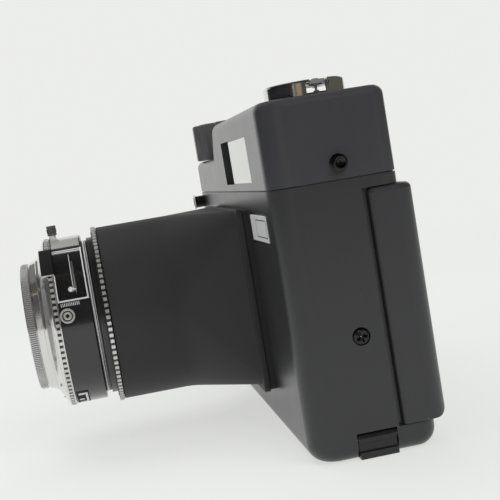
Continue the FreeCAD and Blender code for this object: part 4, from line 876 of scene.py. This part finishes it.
rim = turned("shutter_rim_turned", RIM_OUTLINE, LENS_FRAME, 0.04, 192)
mount(rim, "shutter", "shutter_rear_rim", barrel_black)
for label, reach, wide in RIM_LINES:
    outline = [(RIM_FOOT, reach), (RIM_CREST, reach), (28.75, reach + wide / 2),
               (RIM_CREST, reach + wide), (RIM_FOOT, reach + wide)]
    line = turned("shutter_rim_line_" + label, outline, LENS_FRAME, 0.04, 192)
    mount(line, "shutter", finish=trim)


# Shutter case.
# The round leaf shutter in gloss black lacquer. A thin silver sheet on top is a
# painted reflection of the pale room in the gloss, and a black plate with bright
# marks sits below. Its leaves and levers are dark steel.

CASE_SKIN = 31.0
FOOT_REACHES = (64.0, 68.5)
FOOT_MARKS = ((64.5, 65.3, -73.0, -53.0), (65.3, 67.8, -73.0, -70.4),
              (65.3, 67.8, -55.6, -53.0), (66.0, 67.8, -65.2, -62.6))


def lacquer(name, shade, roughness):
    """Gloss black lacquer with slight waviness and hairline marks."""
    material, place = new_finish(name)
    wave = place.noise(5.0, 2.0)
    colour = wave.mix(grey(shade * 0.85), grey(shade * 1.15, (1.0, 0.99, 1.02)))
    return lay_on(material, place, colour, wave * 0.08 + roughness, wave, 0.01,
                  Coat_Weight=0.6, Coat_Roughness=0.08)


def curved_plate(name, radii, reaches, angles, finish, steps=48):
    """A piece of a ring on the shutter, between two angles above level."""
    (inner, outer), (rear, front), (low, high) = radii, reaches, angles
    outline = eased_outline([(inner, rear), (outer, rear), (outer, front), (inner, front)], 0.08)
    work = bmesh.new()
    rows = [spun(work, outline, math.radians(low + (high - low) * step / steps))
            for step in range(steps + 1)]
    skin(work, rows, closed=False)
    work.faces.new(rows[0])
    work.faces.new(rows[-1])
    return mount(piece_of(work, name, LENS_FRAME), "shutter", finish=finish)


shutter_lacquer = lacquer("shutter_lacquer", 0.014, 0.16)
finished("shutter_case", 0.1, shutter_lacquer, "shutter")

silver = bare_metal("satin_silver", 0.74, 0.24, WARM, 0.4, metallic=0.65)
# Painted reflection: a silver sheet where the top of the gloss lacquer mirrors the pale room.
curved_plate("shutter_top_plate", (30.9, 31.12), (58.3, 68.5), (64.0, 112.0), silver)
curved_plate("shutter_foot_plate", (30.9, 31.06), FOOT_REACHES, (-76.0, -50.0), chassis_black)
for index, (rear, front, low, high) in enumerate(FOOT_MARKS):
    curved_plate("shutter_foot_mark_%d" % (index + 1), (CASE_SKIN, 31.12), (rear, front),
                 (low, high), trim, 12)

blade_steel = bare_metal("blade_steel", 0.1, 0.3, COLD)
dress(blade_steel, "diaphragm_blades", "cocking_lever", "release_lever",
      *["shutter_blade_%d" % (index + 1) for index in range(5)])


# Aperture scale.
# A curved clear window over the black scale on the near side, in a bright bezel
# with a black guard over the speed ring. A pointer with a ball runs under it, and
# a thin bright strip along its slot is a painted highlight of the slot's edge.

BEZEL = (CASE_SKIN, 31.5)
GUARD_ROOF = (31.8, 32.4)
GUARD_TRIM = (31.82, 32.38)
SCALE_REACHES = (58.4, 68.4)
FRONT_BAR = (68.4, 68.8)
SCALE_ANGLES = (18.2, 60.1)
GUARD_ANGLES = (37.5, 60.5)
TICKS = 11
TICK_PITCH = 0.62

scale_glass, scale_spot = new_finish("scale_glass")
dress(lay_on(scale_glass, scale_spot, grey(0.01), 0.04, Alpha=0.12), "scale_window")

bezel = curved_plate("scale_frame_rear", BEZEL, (57.9, 58.4), SCALE_ANGLES, trim)
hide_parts("scale_frame")
curved_plate("scale_frame_front", BEZEL, FRONT_BAR, SCALE_ANGLES, trim)
curved_plate("scale_frame_foot", BEZEL, SCALE_REACHES, (18.2, 19.2), trim, 8)
for index, low in enumerate((56.6, 58.6)):
    curved_plate("scale_frame_head_%d" % (index + 1), BEZEL, SCALE_REACHES, (low, low + 0.8), trim,
                 8)
curved_plate("scale_guard_riser", (CASE_SKIN, 32.4), FRONT_BAR, GUARD_ANGLES, ink_black)
curved_plate("scale_guard_roof", GUARD_ROOF, (68.4, 73.0), GUARD_ANGLES, ink_black)
curved_plate("scale_guard_edge", GUARD_TRIM, (68.6, 73.0), (37.2, 37.6), trim, 4)
curved_plate("scale_guard_mark", GUARD_TRIM, (72.8, 73.02), (45.5, 47.5), trim, 4)
# Painted highlight: a thin bright strip along the pointer slot, standing for the light on its
# edge.
curved_plate("scale_line", (31.36, 31.48), (62.55, 62.8), (24.0, 54.0), trim)

ticks = curved_plate("scale_ticks", (CASE_SKIN, 31.08), (61.5, 61.75), (15.2, 17.6), trim,
                     6)
comb = ticks.modifiers.new("comb", "ARRAY")
comb.count = TICKS
comb.use_relative_offset = False
comb.use_constant_offset = True
comb.constant_offset_displace = (0.0, -TICK_PITCH * MM, 0.0)
made_plain(ticks)

finished("aperture_lever", 0.02, trim, "aperture")


# Speed ring.
# A turned silver ring that sets the speed: a rim with a row of square pits for
# the finger tips, and a cone in front that carries plain numbers. The bottom of
# the pits is black, as painted shade in the recesses.

SPEED_OUTLINE = [(29.05, 68.9), (31.3, 68.9), (31.5, 69.05), (31.5, 69.45), (30.8, 69.5),
                 (30.8, 70.75), (31.5, 70.8), (31.5, 71.2), (31.35, 71.4), (31.1, 71.4),
                 (30.2, 71.9), (29.7, 72.0), (29.2, 72.35), (26.6, 73.7), (25.8, 74.3),
                 (25.2, 74.3), (25.2, 71.1), (29.05, 71.1)]
PIT_SHADE_OUTLINE = [(30.4, 69.5), (30.9, 69.5), (30.9, 70.75), (30.4, 70.75)]
SPEED_TEETH = 92
SPEED_TOOTH = (0.72, 1.25, 1.4, 0.85)
SPEEDS = ("1", "2", "4", "8", "15", "30", "60", "125", "250", "500")
FIRST_SPEED = 115
SPEED_PITCH = 27
FIGURE_RADIUS = 28.1
FIGURE_REACH = 72.98
FIGURE_HEIGHT = 1.9
FIGURE_DEPTH = 0.03
CONE_LEAN = 63

polished = bare_metal("polished_silver", 0.8, 0.13, WARM, 0.4, metallic=0.9)
speed_body = turned("speed_ring_body", SPEED_OUTLINE, LENS_FRAME, 0.06, 256)
mount(speed_body, "speeds", "speed_ring", polished)
# Painted shade: a black ring at the bottom of the pits darkens the recesses between the silver
# blocks.
pit_shade = turned("speed_ring_pits", PIT_SHADE_OUTLINE, LENS_FRAME, 0.02, 192)
mount(pit_shade, "speeds", finish=barrel_black)
speed_teeth = ring_of("speed_ring_teeth", tooth(*SPEED_TOOTH), SPEED_TEETH, 30.75, silver,
                      LENS_FRAME @ at(0, 0, 70.12))
mount(speed_teeth, "speeds")


def numeral(words, angle):
    """Plain engraved figures on the cone, read from the front."""
    curve = bpy.data.curves.new("figure", "FONT")
    curve.body = words
    curve.size = FIGURE_HEIGHT * MM
    curve.align_x = "CENTER"
    curve.align_y = "CENTER"
    curve.extrude = FIGURE_DEPTH * MM
    source = new_piece("figure", curve)
    mesh = final_mesh(source)
    bpy.data.objects.remove(source)
    mesh.transform(LENS_FRAME @ swung(angle - 90, "Z") @ at(0, FIGURE_RADIUS, FIGURE_REACH)
                   @ swung(-CONE_LEAN, "X"))
    return mesh


figures = bmesh.new()
for index, words in enumerate(SPEEDS):
    figure = numeral(words, FIRST_SPEED - SPEED_PITCH * index)
    figures.from_mesh(figure)
    bpy.data.meshes.remove(figure)
mount(piece_of(figures, "speed_figures"), "speeds", finish=ink_black)


# Sockets.
# A knurled head on a bright neck takes the cable release on top, and a coaxial
# flash socket with two silver sleeves stands on the near side.

CABLE_TURN = 90
CABLE_REACH = 67.6
NECK_OUTLINE = [(0, 28.0), (1.3, 28.0), (1.3, 32.45), (0, 32.45)]
HEAD_OUTLINE = [(0, 32.45), (1.6, 32.45), (1.75, 32.6), (1.75, 33.1), (1.6, 33.2), (1.6, 35.2),
                (1.75, 35.3), (1.75, 35.9), (1.6, 36.05), (0.9, 36.05), (0.9, 33.05), (0, 33.05)]
CABLE_KNURLS = 24
CABLE_KNURL = (0.28, 0.3, 2.0, 0.5)
SYNC_TURN = 9
SYNC_REACH = 66.2
SYNC_OUTLINE = [(0.65, 31.0), (0.65, 32.6), (1.45, 32.6), (1.45, 31.2), (1.9, 31.2), (1.9, 32.6),
                (2.6, 32.6), (2.6, 30.9), (1.45, 30.9), (1.45, 28.0), (0, 28.0), (0, 31.0)]
SYNC_WELLS = (("pin", 0.0, 0.6, 31.0), ("gap", 1.5, 1.85, 31.2))


def rim_frame(angle, reach):
    """Local Z points outward from the lens axis at that angle above level."""
    return LENS_FRAME @ swung(angle, "Z") @ at(0, 0, reach) @ swung(90, "Y")


cable_place = rim_frame(CABLE_TURN, CABLE_REACH)
cable_grey = bare_metal("cable_grey", 0.12, 0.45, (1.0, 1.0, 0.98), metallic=0.2)
cable = turned("cable_socket_turned", NECK_OUTLINE, cable_place, 0.04, 64)
mount(cable, "shutter", "cable_socket", trim)
cable_head = turned("cable_socket_head", HEAD_OUTLINE, cable_place, 0.04, 64)
mount(cable_head, "shutter", finish=cable_grey)
cable_knurl = ring_of("cable_socket_knurl", tooth(*CABLE_KNURL), CABLE_KNURLS, 1.52, cable_grey,
                      cable_place @ at(0, 0, 34.2))
mount(cable_knurl, "shutter")

sync_place = rim_frame(SYNC_TURN, SYNC_REACH)
sync = turned("sync_socket_turned", SYNC_OUTLINE, sync_place, 0.06, 64)
mount(sync, "shutter", "sync_socket", silver)
for label, inner, outer, height in SYNC_WELLS:
    low, high = height - 0.1, height + 0.15
    outline = [(inner, low), (outer, low), (outer, high), (inner, high)]
    well = turned("sync_socket_" + label, outline, sync_place, 0.02, 48)
    mount(well, "shutter", finish=ink_black)


# Front cell.
# The turned front cell that holds the front glass: a cone, a waist and a front
# ring with a fine straight knurl round it, threaded inside for filters. A grey
# band under the knurl darkens the gaps between its ribs as painted shade.

FILTER_THREAD = [(21.5 + 0.25 * (step % 2), 81.0 - 0.2 * step) for step in range(14)]
CELL_OUTLINE = ([(17.5, 67.8), (19.9, 67.8), (19.9, 73.9), (24.9, 73.9), (24.9, 74.1),
                 (24.75, 74.4), (24.75, 75.2), (24.3, 75.5), (23.7, 77.6), (22.45, 77.6),
                 (22.45, 78.0), (23.0, 78.0), (23.2, 78.2), (23.2, 81.0), (23.0, 81.2),
                 (21.75, 81.2)] + FILTER_THREAD + [(21.5, 78.2), (18.1, 76.9), (17.5, 76.6)])
BAND_OUTLINE = [(22.8, 78.3), (23.24, 78.3), (23.24, 80.9), (22.8, 80.9)]
LINING_OUTLINE = [(17.55, 76.62), (18.1, 76.95), (21.4, 78.2), (21.4, 78.32), (18.0, 77.05),
                  (17.5, 76.75)]
KNURLS = 190
KNURL = (0.34, 0.5, 2.7, 0.6)

dress(shutter_lacquer, "front_plate")
cell = turned("front_cell_turned", CELL_OUTLINE, LENS_FRAME, 0.06, 192)
mount(cell, "shutter", "front_cell", polished)
# Painted shade: a grey band under the silver ribs darkens the grooves of the knurl.
cell_groove_shade = turned("front_ring_band", BAND_OUTLINE, LENS_FRAME, 0.02, 192)
mount(cell_groove_shade, "shutter", finish=cable_grey)
cell_knurl = ring_of("front_ring_knurl", tooth(*KNURL), KNURLS, 23.15, silver,
                     LENS_FRAME @ at(0, 0, 79.6))
mount(cell_knurl, "shutter")

inner_black = anodised("cell_black", 0.015, 0.5)
lining = turned("front_cell_lining", LINING_OUTLINE, LENS_FRAME, 0.02, 128)
mount(lining, "shutter", finish=inner_black)
dress(inner_black, "rear_cell")


def coated(name, coat_tint):
    """Coated lens glass: its reflections take a faint blue or amber cast."""
    return clear_glass(name, (0.96, 0.97, 1.0), 1.62, coat_tint, 0.5)


dress(coated("front_coating", (0.75, 0.7, 1.0)), "front_glass")
dress(coated("rear_coating", (1.0, 0.8, 0.6)), "rear_glass")


# Floor and light.
# A wide pale table that fades into the pale surround, and three softboxes: one
# above, one on the lens side and one near the camera. The cards show only in
# gloss, and one glowing strip among them gives a painted gold highlight.

BACKDROP = (0.84, 0.85, 0.83, 1.0)
SHADE_LIGHT = (0.36, 0.37, 0.38, 1.0)
FLOOR_GLOW = 0.72
PAPER_TINT = (0.99, 1.0, 1.0)
TABLE_RADIUS = 6.0


def seen_directly(start):
    """1 for rays that should see the pale surround: the eye, gloss and glass."""
    eye, gloss, glass = (start.node("ShaderNodeLightPath", {}, {}, "Is %s Ray" % kind)
                         for kind in ("Camera", "Glossy", "Transmission"))
    return start.math("MINIMUM", eye + gloss + glass, 1.0)


def table_finish():
    """Pale paper whose own glow takes over from the light further out."""
    material, place = new_finish("table")
    tree = material.node_tree
    lay_on(material, place, place.noise(3.0).mix(grey(0.80, PAPER_TINT), grey(0.82, PAPER_TINT)),
           0.7)
    distance = place.node("ShaderNodeVectorMath", {"operation": "LENGTH"}, {0: place}, "Value")
    strength = seen_directly(place) * 0.4 + 0.6
    glow = place.node("ShaderNodeEmission", {}, {"Color": BACKDROP, "Strength": strength})
    lit = Signal(tree, tree.nodes["Principled BSDF"].outputs[0])
    fade = distance.over(0.15, 0.8) * (1 - FLOOR_GLOW) + FLOOR_GLOW
    mixed = place.node("ShaderNodeMixShader", {}, {0: fade, 1: lit, 2: glow})
    tree.links.new(mixed.socket, tree.nodes["Material Output"].inputs["Surface"])
    return material


table_top = bmesh.new()
bmesh.ops.create_circle(table_top, cap_ends=True, segments=96, radius=TABLE_RADIUS)
table = piece_of(table_top, "table")
table.data.materials.append(table_finish())


def room_card(name, size, spot, turn, axis, colour):
    """A card of the room seen only in the camera's gloss: dim, or glowing for a highlight."""
    finish = bpy.data.materials.new(name)
    finish.use_nodes = True
    shader = finish.node_tree.nodes["Principled BSDF"]
    shader.inputs["Base Color"].default_value = grey(0.0)
    shader.inputs["Roughness"].default_value = 1.0
    shader.inputs["Specular IOR Level"].default_value = 0.0
    shader.inputs["Emission Color"].default_value = colour + (1.0,)
    shader.inputs["Emission Strength"].default_value = 1.0
    work = bmesh.new()
    bmesh.ops.create_grid(work, x_segments=1, y_segments=1, size=0.5)
    bmesh.ops.scale(work, vec=(size[0], size[1], 1.0), verts=work.verts)
    card = piece_of(work, name, Matrix.Translation(spot) @ swung(turn, axis))
    card.data.materials.append(finish)
    card.visible_camera = False
    card.visible_diffuse = False
    card.visible_shadow = False
    card.visible_transmission = False


room_card("camera_side_card", (1.6, 2.0), (1.3, 0.0, 0.8), 90, "Y", (0.045, 0.04, 0.036))
room_card("ceiling_card", (1.5, 2.4), (0.62, 0.0, 1.5), 0, "Y", (0.012, 0.011, 0.012))
room_card("far_ceiling_card", (2.9, 3.0), (-1.58, 0.0, 1.5), 0, "Y", (0.13, 0.13, 0.12))
room_card("lens_side_card", (2.6, 1.6), (0.1, -1.15, 0.8), 90, "X", (0.006, 0.006, 0.008))
room_card("rear_side_card", (2.6, 1.6), (0.1, 1.15, 0.8), 90, "X", (0.09, 0.09, 0.075))
room_card("warm_card", (1.2, 0.35), (1.2, -0.55, 0.62), 90, "Y", (0.3, 0.24, 0.16))
# This strip glows, though it is no lamp: a painted gold highlight on the front barrel and other
# round metal.
room_card("warm_strip", (0.035, 2.2), (0.54, 0.0, 1.45), 0, "Y", (1.0, 0.78, 0.5))

world = bpy.data.worlds.new("surround")
bpy.context.scene.world = world
world.use_nodes = True
sky = seen_directly(Signal(world.node_tree)).mix(SHADE_LIGHT, BACKDROP)
world.node_tree.links.new(sky.socket, world.node_tree.nodes["Background"].inputs["Color"])


def softbox(name, place, aim, size, watts):
    light = bpy.data.lights.new(name, "AREA")
    light.shape = "RECTANGLE"
    light.size, light.size_y = size
    light.energy = watts
    obj = new_piece(name, light)
    obj.location = place
    obj.rotation_euler = (Vector(aim) - Vector(place)).to_track_quat("-Z", "Y").to_euler()
    obj.visible_glossy = False


softbox("top_box", (-0.5, -0.2, 1.0), (0, 0, 0.05), (0.9, 1.0), 8.0)
softbox("lens_side_box", (0.2, -1.1, 0.5), (0, 0, 0.06), (0.8, 0.8), 3.0)
softbox("near_side_box", (0.9, 0.3, 0.85), (0, 0, 0.08), (0.9, 0.9), 8.5)


# Camera.
# It looks almost along the body, from close by and a little above the lens
# axis, with the place, direction and lens that were fitted to the photograph.

CAMERA_SPOT = (0.41689, -0.07222, 0.09314)
RIGHT = Vector((0.14867926, 0.97521189, -0.16387876))
UP = Vector((-0.05132584, 0.17310745, 0.98356467))
BACK = Vector((0.9875526, -0.13782445, 0.07579106))

camera_data = bpy.data.cameras.new("camera")
camera_data.sensor_width = 36.0
camera_data.lens = 79.126
camera_data.clip_start = 0.01
camera = new_piece("camera", camera_data)
camera.matrix_world = (Matrix.Translation(CAMERA_SPOT)
                       @ Matrix((RIGHT, UP, BACK)).transposed().to_4x4())
bpy.context.scene.camera = camera
bpy.context.scene.view_settings.view_transform = "Standard"
